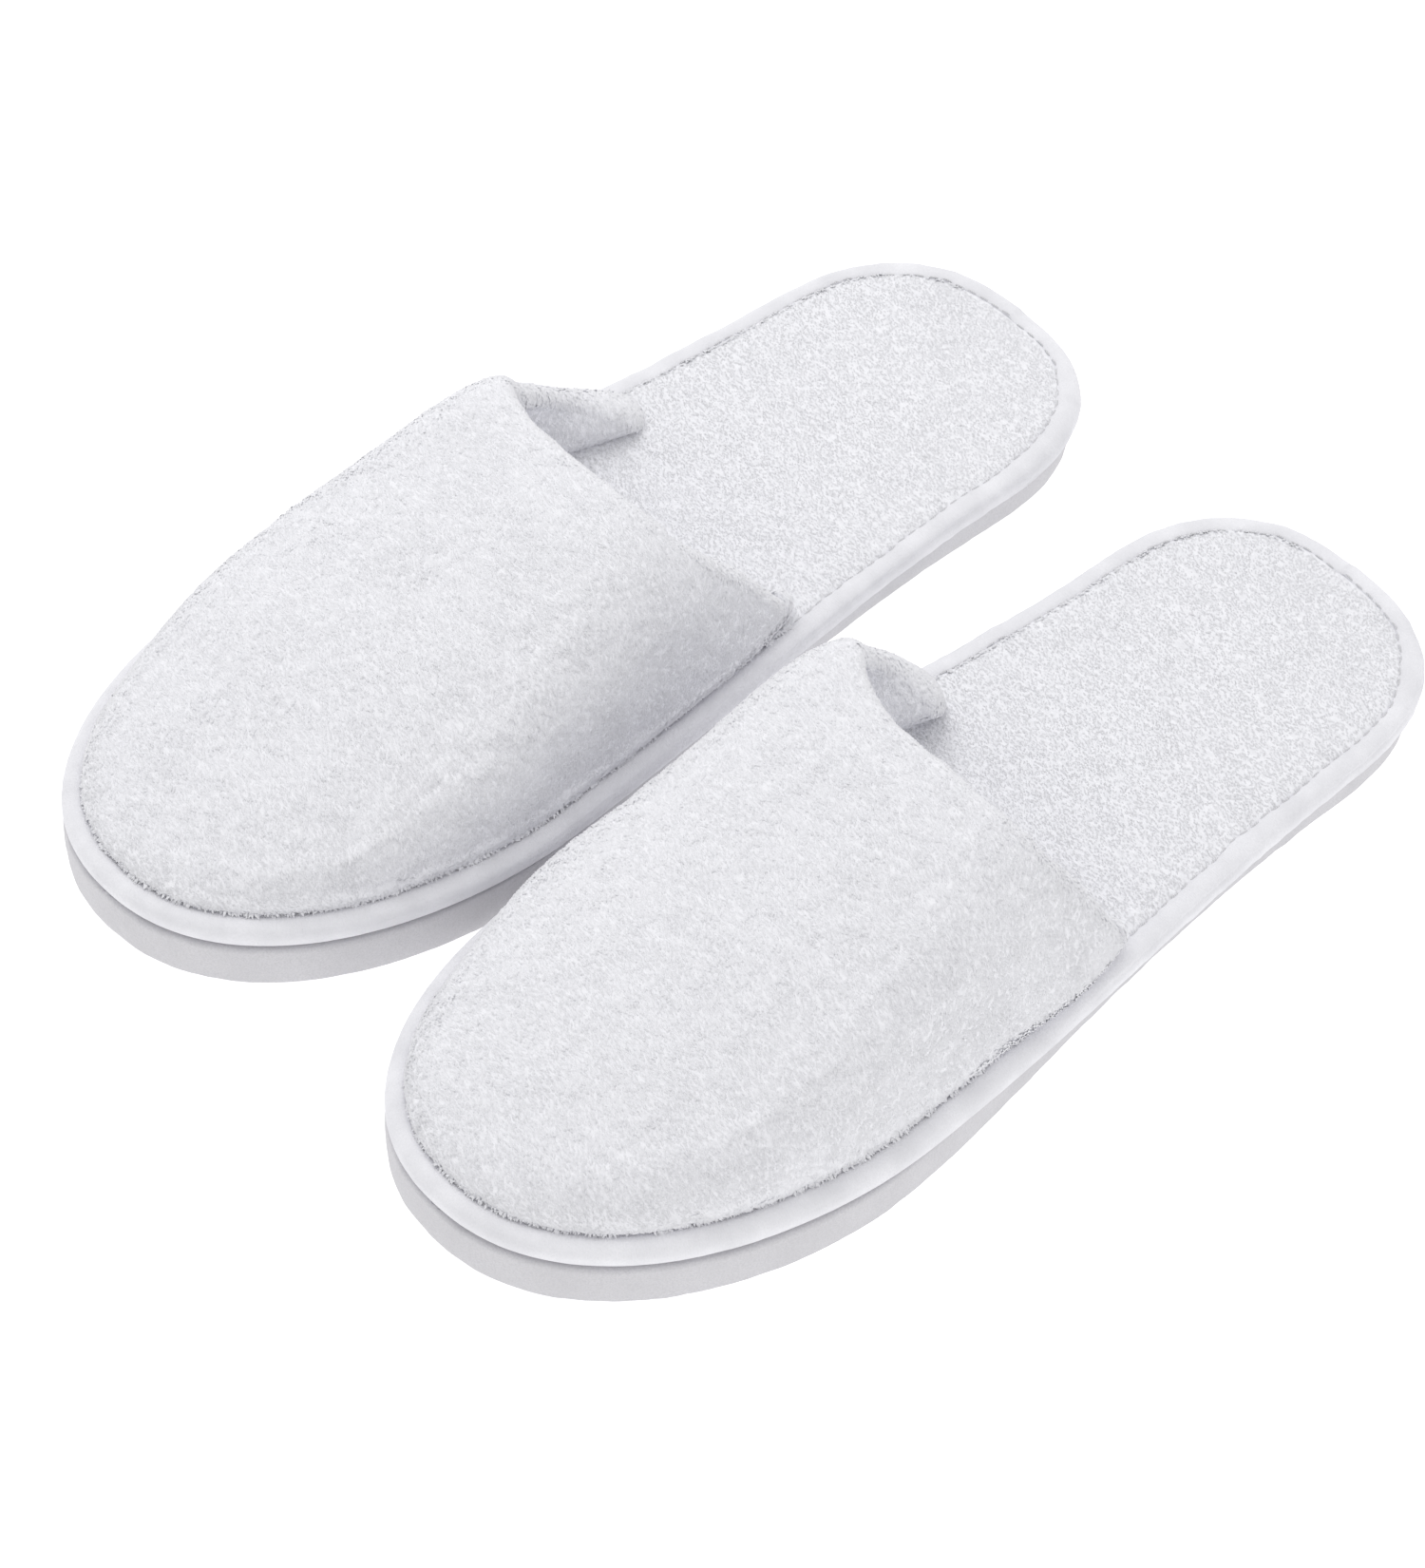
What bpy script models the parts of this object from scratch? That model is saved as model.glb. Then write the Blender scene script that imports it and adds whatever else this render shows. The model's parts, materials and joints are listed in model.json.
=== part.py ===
"""A pair of closed-toe plush spa slippers, built layer by layer.

Each slipper is an EVA foam outsole, an insole sandwich (board, foam, plush cover) whose edge is
wrapped in a sewn binding tape, and a padded vamp (plush outer, foam, lining) sewn in under the tape.
The sole bends behind the vamp, so every sole layer is made in a front and a rear half that meet at
the flex line.

Slipper frame: x across (positive on the wearer's outer side), y from the back of the heel to the
toe, z up from the floor. World frame: origin on the floor midway between the slippers, +Z up, toes
towards -Y, the right slipper on the -X side and the left slipper on the +X side. Metres.
"""

import math

import bmesh
import bpy
import numpy as np

# Outline, measured at the outer edge of the binding tape
LENGTH = 0.285
HEEL_WIDTH = 0.0855
BALL_WIDTH = 0.1120
TAPER_START = 0.14          # fractions of the length between which the width grows
TAPER_END = 0.75
HEEL_CAP = 0.175            # length of the rounded heel, as a fraction of the length
HEEL_CAP_POWER = 2.55
TOE_CAP = 0.33
TOE_CAP_POWER = 2.2
CENTRE_BOW = 0.0019         # how far the centreline bows to the outer side at mid length
PAIR_SPACING = 0.1140       # centre to centre

# Outsole
SOLE_HEEL_THICKNESS = 0.0090
SOLE_TOE_THICKNESS = 0.0115
TOE_SPRING = 0.0050         # rise of the sole's underside at the toe
TOE_SPRING_START = 0.65
SOLE_EDGE_ROUND = 0.0010
SOLE_INSET_HEEL = 0.0025    # outsole edge, in from the tape's outer edge
SOLE_INSET_WAIST = 0.0048
SOLE_INSET_TOE = 0.0
SOLE_WAIST = 0.40           # where the outsole is furthest in, as a fraction of the length

# Layers above the outsole: heights above its top face
TAPE_BOTTOM = 0.0003
TAPE_THICKNESS = 0.0007
TAPE_TOP = 0.0070
TAPE_LIP = 0.0055           # how far the tape's upper leg reaches in
TAPE_TURN_UNDER = 0.0100    # how far its lower leg reaches in
TAPE_LIP_HEIGHT = 0.0066
TAPE_CREST_INSET = 0.0037   # where the upper leg is highest
# the tape's rolled edge from below to above, as (inset, height)
TAPE_ROLL_OUTSIDE = (
    (0.0018, TAPE_BOTTOM), (0.0004, 0.0017), (0.0, 0.0037), (0.0005, 0.0055), (0.0018, 0.0067),
)
TAPE_ROLL_INSIDE = (
    (0.0020, 0.0010), (0.0011, 0.0022), (0.0008, 0.0037), (0.0012, 0.0049), (0.0022, 0.0058),
)
BOARD = (0.0013, 0.0023)
FOAM = (0.0026, 0.0042)
COVER_EDGE = (0.0045, 0.0054)
COVER_TOP = 0.0068
COVER_SHOULDER_MARGIN = 0.0020   # from what holds the cover down to where it starts to rise
COVER_SHOULDER_WIDTH = 0.0018
LAYER_EDGE_INSET = 0.0023

# Vamp
VAMP_FOOT_INSET = 0.0060
VAMP_FOOT_HEIGHT = 0.0063
VAMP_HEIGHT_THROAT = 0.0480
VAMP_HEIGHT_TOE = 0.0120
VAMP_ARCH_POWER = 2.8
VAMP_TOE_START = 0.67
THROAT_CENTRE = 0.1440      # y of the throat edge on the centreline
# y where the throat edge meets the tape: (outer side, inner side)
WING_END = {"right": (0.0930, 0.1060), "left": (0.1180, 0.0980)}
WING_SWEEP_POWER = 4.0
VAMP_OUTER_THICKNESS = 0.0026
VAMP_FOAM_THICKNESS = 0.0020
VAMP_LINING_THICKNESS = 0.0018
LAYER_GAP = 0.0004
HEM_WIDTH = 0.0090          # from the throat edge to the line of hem stitches
HEM_SWING = 66.0            # degrees round the arch, each way, that the hem stitches reach
HEM_POINTS = 27

# Sewing thread
THREAD_RADIUS = 0.00035
THREAD_INSET = 0.0040

# Sole flex line
FLEX_LINE = 0.0860          # y of the flex line
FLEX_GAP = 0.0006
FLEX_AXIS_HEIGHT = 0.0186

# Mesh density
OUTLINE_SAMPLES = 720
POINTS_FRONT = 34
POINTS_REAR = 22
VAMP_COLUMNS = 14
VAMP_ROWS_STRAIGHT = 6
VAMP_ROWS_TOE = 5
THREAD_SIDES = 6
SURFACE_STEP = 0.01         # step in across and along for finding the vamp's normals
SURFACE_EDGE = 0.0001       # how near to the rim of the vamp a normal is taken
TOE_RIM_OVERLAP = 0.0200    # how far behind the toe's rounding its rim is followed
EMPTY_SIZE = 0.0200


def smoothstep(value):
    t = np.clip(value, 0.0, 1.0)
    return t * t * (3.0 - 2.0 * t)


# ---------------------------------------------------------------- outline


def half_width(y):
    """Half the slipper's width at y: a smooth taper closed by two superellipse caps."""
    u = np.clip(np.asarray(y) / LENGTH, 0.0, 1.0)
    taper = smoothstep((u - TAPER_START) / (TAPER_END - TAPER_START))
    width = HEEL_WIDTH + (BALL_WIDTH - HEEL_WIDTH) * taper
    heel = np.clip((HEEL_CAP - u) / HEEL_CAP, 0.0, 1.0)
    toe = np.clip((u - 1.0 + TOE_CAP) / TOE_CAP, 0.0, 1.0)
    heel_cap = (1.0 - heel ** HEEL_CAP_POWER) ** (1.0 / HEEL_CAP_POWER)
    toe_cap = (1.0 - toe ** TOE_CAP_POWER) ** (1.0 / TOE_CAP_POWER)
    return 0.5 * width * heel_cap * toe_cap


def centreline(y):
    return CENTRE_BOW * np.sin(math.pi * np.asarray(y) / LENGTH)


def sole_inset(y):
    """Inset of the outsole edge from the tape's outer edge."""
    u = np.asarray(y) / LENGTH
    to_waist = smoothstep(u / SOLE_WAIST)
    to_toe = smoothstep((u - SOLE_WAIST) / SOLE_WAIST)
    rear = SOLE_INSET_HEEL + (SOLE_INSET_WAIST - SOLE_INSET_HEEL) * to_waist
    return rear + (SOLE_INSET_TOE - rear) * to_toe


def outline(inset):
    """Closed loop (x, y) from the heel up the outer side, round the toe and back.

    inset is a distance, or a function of y that gives one.
    """
    half_count = OUTLINE_SAMPLES // 2
    y = 0.5 * LENGTH * (1.0 - np.cos(np.linspace(0.0, math.pi, half_count)))
    outer = np.stack([centreline(y) + half_width(y), y], axis=1)
    inner = np.stack([centreline(y) - half_width(y), y], axis=1)[::-1]
    loop = np.vstack([outer, inner[1:-1]])
    tangent = np.roll(loop, -1, axis=0) - np.roll(loop, 1, axis=0)
    normal = np.stack([tangent[:, 1], -tangent[:, 0]], axis=1)
    normal /= np.linalg.norm(normal, axis=1)[:, None]
    distance = inset(loop[:, 1]) if callable(inset) else inset
    return loop - normal * np.broadcast_to(distance, len(loop))[:, None]


def arc(inset, half):
    """Evenly spaced points round the front or the rear half, cut square at the flex line."""
    loop = outline(inset)
    if half == "front":
        cut = FLEX_LINE + 0.5 * FLEX_GAP
        count = POINTS_FRONT
        keep = loop[:, 1] > cut
    else:
        cut = FLEX_LINE - 0.5 * FLEX_GAP
        count = POINTS_REAR
        loop = np.roll(loop, OUTLINE_SAMPLES // 2, axis=0)
        keep = loop[:, 1] < cut
    first, last = np.flatnonzero(keep)[[0, -1]]

    def crossing(a, b):
        t = (cut - a[1]) / (b[1] - a[1])
        return a + t * (b - a)

    start = crossing(loop[first - 1], loop[first])
    end = crossing(loop[last], loop[(last + 1) % len(loop)])
    path = np.vstack([start, loop[first:last + 1], end])
    steps = np.linalg.norm(np.diff(path, axis=0), axis=1)
    travelled = np.concatenate([[0.0], np.cumsum(steps)])
    targets = np.linspace(0.0, travelled[-1], count)
    return np.stack([np.interp(targets, travelled, path[:, axis]) for axis in (0, 1)], axis=1)


# ---------------------------------------------------------------- heights


def sole_bottom(y):
    u = np.asarray(y) / LENGTH
    return TOE_SPRING * np.clip((u - TOE_SPRING_START) / (1.0 - TOE_SPRING_START), 0.0, 1.0) ** 2


def sole_top(y):
    thickness = SOLE_HEEL_THICKNESS + (SOLE_TOE_THICKNESS - SOLE_HEEL_THICKNESS) * np.asarray(y) / LENGTH
    return sole_bottom(y) + thickness


def ring(inset, surface, height, half):
    """One loop of points at an inset, a height above a surface."""
    points = arc(inset, half)
    return np.column_stack([points, surface(points[:, 1]) + height])


# ---------------------------------------------------------------- mesh making


def new_mesh_object(name, vertices, faces, side):
    """Mesh object in the slipper frame, mirrored for the side and turned toe towards -Y."""
    placed = [(side * x, 0.5 * LENGTH - y, z) for x, y, z in vertices]
    mesh = bpy.data.meshes.new(name)
    mesh.from_pydata(placed, [], faces)
    bm = bmesh.new()
    bm.from_mesh(mesh)
    bmesh.ops.recalc_face_normals(bm, faces=bm.faces)
    bm.to_mesh(mesh)
    bm.free()
    return bpy.data.objects.new(name, mesh)


def slab(name, rings, side):
    """Plate lofted through a stack of rings, closed above, below and at the flex line."""
    count = len(rings[0])
    vertices = [tuple(point) for loop in rings for point in loop]
    faces = []
    for k in range(len(rings) - 1):
        low = k * count
        high = low + count
        for i in range(count - 1):
            faces.append((low + i, low + i + 1, high + i + 1, high + i))
        faces.append((low + count - 1, low, high, high + count - 1))
    for base in (0, (len(rings) - 1) * count):
        for i in range(count // 2 - 1):
            faces.append((base + i, base + i + 1, base + count - 2 - i, base + count - 1 - i))
    return new_mesh_object(name, vertices, faces, side)


def swept_strip(name, rings, side):
    """Closed profile swept along the outline, capped at the flex line."""
    count = len(rings[0])
    total = len(rings)
    vertices = [tuple(point) for loop in rings for point in loop]
    faces = []
    for k in range(total):
        a = k * count
        b = ((k + 1) % total) * count
        for i in range(count - 1):
            faces.append((a + i, a + i + 1, b + i + 1, b + i))
    faces.append(tuple(k * count for k in range(total)))
    faces.append(tuple(k * count + count - 1 for k in range(total)))
    return new_mesh_object(name, vertices, faces, side)


def material(name, colour, roughness):
    found = bpy.data.materials.get(name)
    if found:
        return found
    made = bpy.data.materials.new(name)
    made.use_nodes = True
    shader = made.node_tree.nodes["Principled BSDF"]
    shader.inputs["Base Color"].default_value = (*colour, 1.0)
    shader.inputs["Roughness"].default_value = roughness
    shader.inputs["Metallic"].default_value = 0.0
    made.diffuse_color = (*colour, 1.0)
    return made


def white_plush():
    return material("white_plush", (0.78, 0.79, 0.82), 0.95)


def white_tape():
    return material("white_tape", (0.82, 0.82, 0.85), 0.80)


def grey_white_eva():
    return material("grey_white_eva", (0.62, 0.63, 0.64), 0.70)


def fibre_board():
    return material("fibre_board", (0.55, 0.47, 0.36), 0.85)


def cushion_foam():
    return material("cushion_foam", (0.80, 0.78, 0.70), 0.90)


def white_thread():
    return material("white_thread", (0.80, 0.80, 0.82), 0.60)


# ---------------------------------------------------------------- sole layers


def make_outsole(name, half, side):
    edge = SOLE_EDGE_ROUND
    rings = [
        ring(lambda y: sole_inset(y) + edge, sole_bottom, 0.0, half),
        ring(sole_inset, sole_bottom, edge, half),
        ring(sole_inset, sole_top, -edge, half),
        ring(lambda y: sole_inset(y) + edge, sole_top, 0.0, half),
    ]
    return slab(name, rings, side)


def make_board(name, half, side):
    rings = [ring(LAYER_EDGE_INSET, sole_top, height, half) for height in BOARD]
    return slab(name, rings, side)


def make_foam(name, half, side):
    rings = [ring(LAYER_EDGE_INSET, sole_top, height, half) for height in FOAM]
    return slab(name, rings, side)


def make_cover(name, half, side):
    """Plush cover: thin where the tape and the vamp hold it down, full height inside."""
    vamp_depth = VAMP_OUTER_THICKNESS + VAMP_FOAM_THICKNESS + VAMP_LINING_THICKNESS + 2 * LAYER_GAP
    held = VAMP_FOOT_INSET + vamp_depth if half == "front" else TAPE_LIP
    shoulder = held + COVER_SHOULDER_MARGIN
    crown = shoulder + COVER_SHOULDER_WIDTH
    rings = [
        ring(LAYER_EDGE_INSET, sole_top, COVER_EDGE[0], half),
        ring(LAYER_EDGE_INSET, sole_top, COVER_EDGE[1], half),
        ring(shoulder, sole_top, COVER_EDGE[1], half),
        ring(crown, sole_top, COVER_TOP, half),
    ]
    return slab(name, rings, side)


def tape_profile():
    """C-shaped section of the tape, as (inset, height above the outsole)."""
    outside = [(TAPE_TURN_UNDER, TAPE_BOTTOM), *TAPE_ROLL_OUTSIDE]
    outside += [(TAPE_CREST_INSET, TAPE_TOP), (TAPE_LIP, TAPE_LIP_HEIGHT)]
    inside = [(TAPE_LIP, TAPE_LIP_HEIGHT - TAPE_THICKNESS), (TAPE_CREST_INSET, TAPE_TOP - TAPE_THICKNESS)]
    inside += [*TAPE_ROLL_INSIDE[::-1], (TAPE_TURN_UNDER, TAPE_BOTTOM + TAPE_THICKNESS)]
    return outside + inside


def make_tape(name, half, side):
    rings = [ring(inset, sole_top, height, half) for inset, height in tape_profile()]
    return swept_strip(name, rings, side)


def make_tape_thread(name, half, side):
    """Lockstitch thread lying along the tape's upper leg."""
    centre = TAPE_TOP + LAYER_GAP + THREAD_RADIUS
    rings = []
    for k in range(THREAD_SIDES):
        angle = 2.0 * math.pi * k / THREAD_SIDES
        inset = THREAD_INSET + THREAD_RADIUS * math.cos(angle)
        rings.append(ring(inset, sole_top, centre + THREAD_RADIUS * math.sin(angle), half))
    return swept_strip(name, rings, side)


# ---------------------------------------------------------------- vamp


def vamp_surface(across, along, wing_end):
    """Outer face of the vamp, (x, y, z) in the slipper frame.

    across runs from -1 at the inner foot of the arch to 1 at its outer foot. along runs from 0 at
    the throat edge to 1 where the toe's rounding starts, and to 2 at the toe's foot.
    """
    loop = outline(VAMP_FOOT_INSET)
    middle = OUTLINE_SAMPLES // 2 - 1
    outer_side = loop[:middle + 1]
    inner_side = np.vstack([loop[middle:], loop[:1]])[::-1]
    toe_start = VAMP_TOE_START * LENGTH

    def edges(y):
        outer_x = np.interp(y, outer_side[:, 1], outer_side[:, 0])
        inner_x = np.interp(y, inner_side[:, 1], inner_side[:, 0])
        return outer_x, inner_x

    angle = np.arcsin(np.clip(across, -1.0, 1.0)) / (0.5 * math.pi)
    outer_end, inner_end = wing_end
    end = np.where(across > 0.0, outer_end, inner_end)
    throat = THROAT_CENTRE - (THROAT_CENTRE - end) * np.abs(angle) ** WING_SWEEP_POWER
    forward = np.clip(along, 0.0, 1.0)
    y = throat + (toe_start - throat) * forward
    outer_x, inner_x = edges(y)
    x = 0.5 * (outer_x + inner_x) + 0.5 * (outer_x - inner_x) * across
    radius = np.abs(across)

    round_toe = np.clip(along - 1.0, 0.0, 1.0)
    lift = np.sin(0.5 * math.pi * round_toe)
    disc_x = across * np.sqrt(1.0 - 0.5 * lift ** 2)
    disc_y = lift * np.sqrt(1.0 - 0.5 * across ** 2)
    start_outer, start_inner = edges(toe_start)
    centre_x = 0.5 * (start_outer + start_inner)
    semi_x = 0.5 * (start_outer - start_inner)
    semi_y = loop[:, 1].max() - toe_start
    toe_loop = loop[loop[:, 1] > toe_start - TOE_RIM_OVERLAP]
    rim_angle = np.arctan2(toe_loop[:, 0] - centre_x, toe_loop[:, 1] - toe_start)
    rim_radius = np.hypot(toe_loop[:, 0] - centre_x, toe_loop[:, 1] - toe_start)
    order = np.argsort(rim_angle)
    reach_x = disc_x * semi_x
    reach_y = disc_y * semi_y
    heading = np.arctan2(reach_x, reach_y + 1e-12)
    ellipse = 1.0 / np.hypot(np.sin(heading) / semi_x, np.cos(heading) / semi_y)
    stretch = np.interp(heading, rim_angle[order], rim_radius[order]) / ellipse
    in_toe = along > 1.0
    x = np.where(in_toe, centre_x + reach_x * stretch, x)
    y = np.where(in_toe, toe_start + reach_y * stretch, y)
    radius = np.where(in_toe, np.hypot(disc_x, disc_y), radius)

    progress = np.clip((y - THROAT_CENTRE) / (loop[:, 1].max() - THROAT_CENTRE), 0.0, 1.0)
    crown = VAMP_HEIGHT_THROAT + (VAMP_HEIGHT_TOE - VAMP_HEIGHT_THROAT) * progress
    arch = np.clip(1.0 - radius ** VAMP_ARCH_POWER, 0.0, 1.0) ** (1.0 / VAMP_ARCH_POWER)
    z = sole_top(y) + VAMP_FOOT_HEIGHT + crown * arch
    return np.stack([x, y, z], axis=-1)


def offset_surface(across, along, wing_end, depth):
    """The vamp's outer face moved inwards along its normal by depth."""
    across_limit = 1.0 - SURFACE_EDGE
    along_limit = 2.0 - SURFACE_EDGE
    point = vamp_surface(across, along, wing_end)
    across_low = np.clip(across - SURFACE_STEP, -across_limit, across_limit)
    across_high = np.clip(across + SURFACE_STEP, -across_limit, across_limit)
    along_low = np.clip(along - SURFACE_STEP, 0.0, along_limit)
    along_high = np.clip(along + SURFACE_STEP, 0.0, along_limit)
    d_across = vamp_surface(across_high, along, wing_end) - vamp_surface(across_low, along, wing_end)
    d_along = vamp_surface(across, along_high, wing_end) - vamp_surface(across, along_low, wing_end)
    normal = np.cross(d_across, d_along)
    normal /= np.linalg.norm(normal, axis=-1)[..., None]
    at_foot = (np.abs(across) > across_limit) | (along > along_limit)
    normal[..., 2] = np.where(at_foot, 0.0, normal[..., 2])
    normal /= np.linalg.norm(normal, axis=-1)[..., None]
    return point - normal * depth


def vamp_grid():
    swing = np.linspace(-0.5 * math.pi, 0.5 * math.pi, VAMP_COLUMNS + 1)
    straight = np.linspace(0.0, 1.0, VAMP_ROWS_STRAIGHT + 1)
    toe = 1.0 + np.linspace(0.0, 1.0, VAMP_ROWS_TOE + 1)[1:]
    along, across = np.meshgrid(np.concatenate([straight, toe]), np.sin(swing), indexing="ij")
    return across, along


def make_vamp_layer(name, slipper, side, outer_depth, thickness):
    """One layer of the vamp: both faces of the sheet, joined round its rim."""
    across, along = vamp_grid()
    rows, columns = across.shape
    faces_at = [offset_surface(across, along, WING_END[slipper], depth)
                for depth in (outer_depth, outer_depth + thickness)]
    vertices = [tuple(point) for sheet in faces_at for point in sheet.reshape(-1, 3)]
    below = rows * columns
    faces = []
    for i in range(rows - 1):
        for j in range(columns - 1):
            a = i * columns + j
            faces.append((a, a + 1, a + columns + 1, a + columns))
            faces.append((below + a, below + a + columns, below + a + columns + 1, below + a + 1))
    rim = list(range(columns))
    rim += [i * columns + columns - 1 for i in range(1, rows)]
    rim += [(rows - 1) * columns + j for j in range(columns - 2, -1, -1)]
    rim += [i * columns for i in range(rows - 2, 0, -1)]
    for a, b in zip(rim, rim[1:] + rim[:1]):
        faces.append((a, b, below + b, below + a))
    return new_mesh_object(name, vertices, faces, side)


def make_hem_thread(name, slipper, side):
    """Thread of the throat hem, lying on the lining a hem's width inside the edge."""
    depth = VAMP_OUTER_THICKNESS + VAMP_FOAM_THICKNESS + VAMP_LINING_THICKNESS
    depth += 3 * LAYER_GAP + THREAD_RADIUS
    across = np.sin(np.radians(np.linspace(-HEM_SWING, HEM_SWING, HEM_POINTS)))
    along = np.full_like(across, HEM_WIDTH / (VAMP_TOE_START * LENGTH - THROAT_CENTRE))
    path = offset_surface(across, along, WING_END[slipper], depth)
    curve = bpy.data.curves.new(name, "CURVE")
    curve.dimensions = "3D"
    curve.bevel_depth = THREAD_RADIUS
    curve.bevel_resolution = 0
    curve.use_fill_caps = True
    spline = curve.splines.new("POLY")
    spline.points.add(len(path) - 1)
    for point, (x, y, z) in zip(spline.points, path):
        point.co = (side * x, 0.5 * LENGTH - y, z, 1.0)
    return bpy.data.objects.new(name, curve)


# ---------------------------------------------------------------- assembly


def clear_scene():
    for existing in list(bpy.data.objects):
        bpy.data.objects.remove(existing)


def new_collection(name):
    made = bpy.data.collections.new(name)
    bpy.context.scene.collection.children.link(made)
    return made


def add_empty(name, location, parent, collection):
    empty = bpy.data.objects.new(name, None)
    empty.empty_display_size = EMPTY_SIZE
    empty.location = location
    empty.parent = parent
    collection.objects.link(empty)
    return empty


def attach(piece, parent, shift, finish, collection):
    """Put a piece, made in the slipper frame, under an empty that sits at shift in that frame."""
    piece.data.materials.append(finish)
    piece.parent = parent
    piece.location = (-shift[0], -shift[1], -shift[2])
    collection.objects.link(piece)


def build_slipper(slipper, side, collection):
    origin = (side * 0.5 * PAIR_SPACING, 0.0, 0.0)
    flex_axis = (0.0, 0.5 * LENGTH - FLEX_LINE, FLEX_AXIS_HEIGHT)
    forefoot = add_empty(f"{slipper}_forefoot", origin, None, collection)
    heel = add_empty(f"{slipper}_heel_flex_axis", flex_axis, forefoot, collection)
    halves = {"front": (forefoot, (0.0, 0.0, 0.0)), "rear": (heel, flex_axis)}
    sole_layers = {
        "outsole": (make_outsole, grey_white_eva()),
        "insole_board": (make_board, fibre_board()),
        "insole_foam": (make_foam, cushion_foam()),
        "footbed_cover": (make_cover, white_plush()),
        "binding_tape": (make_tape, white_tape()),
        "binding_thread": (make_tape_thread, white_thread()),
    }
    for layer, (make, finish) in sole_layers.items():
        for half, (parent, shift) in halves.items():
            piece = make(f"{slipper}_{layer}_{half}", half, side)
            attach(piece, parent, shift, finish, collection)

    foam_depth = VAMP_OUTER_THICKNESS + LAYER_GAP
    lining_depth = foam_depth + VAMP_FOAM_THICKNESS + LAYER_GAP
    vamp_layers = {
        "vamp_outer": (0.0, VAMP_OUTER_THICKNESS, white_plush()),
        "vamp_foam": (foam_depth, VAMP_FOAM_THICKNESS, cushion_foam()),
        "vamp_lining": (lining_depth, VAMP_LINING_THICKNESS, white_plush()),
    }
    for layer, (depth, thickness, finish) in vamp_layers.items():
        piece = make_vamp_layer(f"{slipper}_{layer}", slipper, side, depth, thickness)
        attach(piece, forefoot, (0.0, 0.0, 0.0), finish, collection)
    hem = make_hem_thread(f"{slipper}_throat_hem_thread", slipper, side)
    attach(hem, forefoot, (0.0, 0.0, 0.0), white_thread(), collection)


def main():
    clear_scene()
    collection = new_collection("spa_slippers")
    build_slipper("right", -1.0, collection)
    build_slipper("left", 1.0, collection)


main()
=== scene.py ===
"""Looks for a pair of closed-toe plush spa slippers.

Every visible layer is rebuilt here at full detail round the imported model: the moulded sole, the sewn
binding, the plush footbed and the padded vamp with its rolled throat edge. The cloth is a relief
sheet with short tufts of pile rooted in it, and the padding is puffed by a short cloth simulation.

Slipper frame: x across (positive on the wearer's outer side), y from the back of the heel to the
toe, z up from the floor, in metres. place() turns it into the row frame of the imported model.
"""

import json
import math
from functools import cache

import bmesh
import bpy
import numpy as np
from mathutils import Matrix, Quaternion, Vector


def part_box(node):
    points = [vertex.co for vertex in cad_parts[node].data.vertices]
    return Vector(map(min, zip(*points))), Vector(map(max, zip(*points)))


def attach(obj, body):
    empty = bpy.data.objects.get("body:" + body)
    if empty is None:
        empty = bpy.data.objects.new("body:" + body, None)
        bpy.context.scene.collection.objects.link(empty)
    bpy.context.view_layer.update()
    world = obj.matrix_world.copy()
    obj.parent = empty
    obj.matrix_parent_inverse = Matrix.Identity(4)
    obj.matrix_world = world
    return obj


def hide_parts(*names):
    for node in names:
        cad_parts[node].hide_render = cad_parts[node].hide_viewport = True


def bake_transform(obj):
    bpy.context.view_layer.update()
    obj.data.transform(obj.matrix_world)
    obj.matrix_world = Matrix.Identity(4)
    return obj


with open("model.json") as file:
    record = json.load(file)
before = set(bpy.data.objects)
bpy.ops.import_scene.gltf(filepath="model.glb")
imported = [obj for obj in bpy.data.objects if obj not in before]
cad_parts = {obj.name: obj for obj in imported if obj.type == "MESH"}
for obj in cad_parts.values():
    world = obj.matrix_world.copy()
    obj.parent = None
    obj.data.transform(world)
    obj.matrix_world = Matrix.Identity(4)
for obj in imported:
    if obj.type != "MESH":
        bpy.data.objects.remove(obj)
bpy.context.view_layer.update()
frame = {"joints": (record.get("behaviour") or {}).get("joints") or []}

MM = 0.001

# Places taken from the frame
SIDES = {"right": -1.0, "left": 1.0}
HINGES = {joint["child"]: Vector(joint["pos_m"]) for joint in frame["joints"] if joint["type"] == "hinge"}
HEEL_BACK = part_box("right_binding_tape_rear")[1].y
TOE_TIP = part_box("right_binding_tape_front")[0].y
LENGTH = HEEL_BACK - TOE_TIP

# Outline at the outer edge of the binding
HEEL_WIDTH = 85.5 * MM
BALL_WIDTH = 112.0 * MM
TAPER_START = 0.14  # fractions of the length between which the width grows
TAPER_END = 0.75
HEEL_CAP = 0.175  # length of the rounded heel, as a fraction of the length
HEEL_CAP_POWER = 2.55
TOE_CAP = 0.33
TOE_CAP_POWER = 2.2
CENTRE_BOW = 1.9 * MM  # how far the centreline bows to the outer side
OUTLINE_ROWS = 360  # points down each side of the outline

# Heights above the sole's top face
BOARD = (1.3 * MM, 2.3 * MM)
FOAM = (2.6 * MM, 4.2 * MM)
TAPE_BOTTOM = 0.3 * MM
TAPE_TOP = 7.0 * MM
FOOTBED_EDGE = 5.6 * MM
FOOTBED_TOP = 7.0 * MM
VAMP_FOOT = 6.3 * MM

THROAT_CENTRE = 144.0 * MM  # y of the throat edge on the centreline
PILE_SEED = 20
LEVEL = np.array([1.0, 1.0, 0.0])  # keeps the level part of a vector


# ---- number helpers


def smoothstep(value):
    t = np.clip(value, 0.0, 1.0)
    return t * t * (3.0 - 2.0 * t)


def hump(value, place, spread):
    """1 at a place, falling smoothly to 0 on both sides of it."""
    return np.exp(-((value - place) / spread) ** 2)


def unit(vectors):
    length = np.linalg.norm(vectors, axis=-1, keepdims=True)
    return vectors / np.maximum(length, 1e-12)


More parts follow.
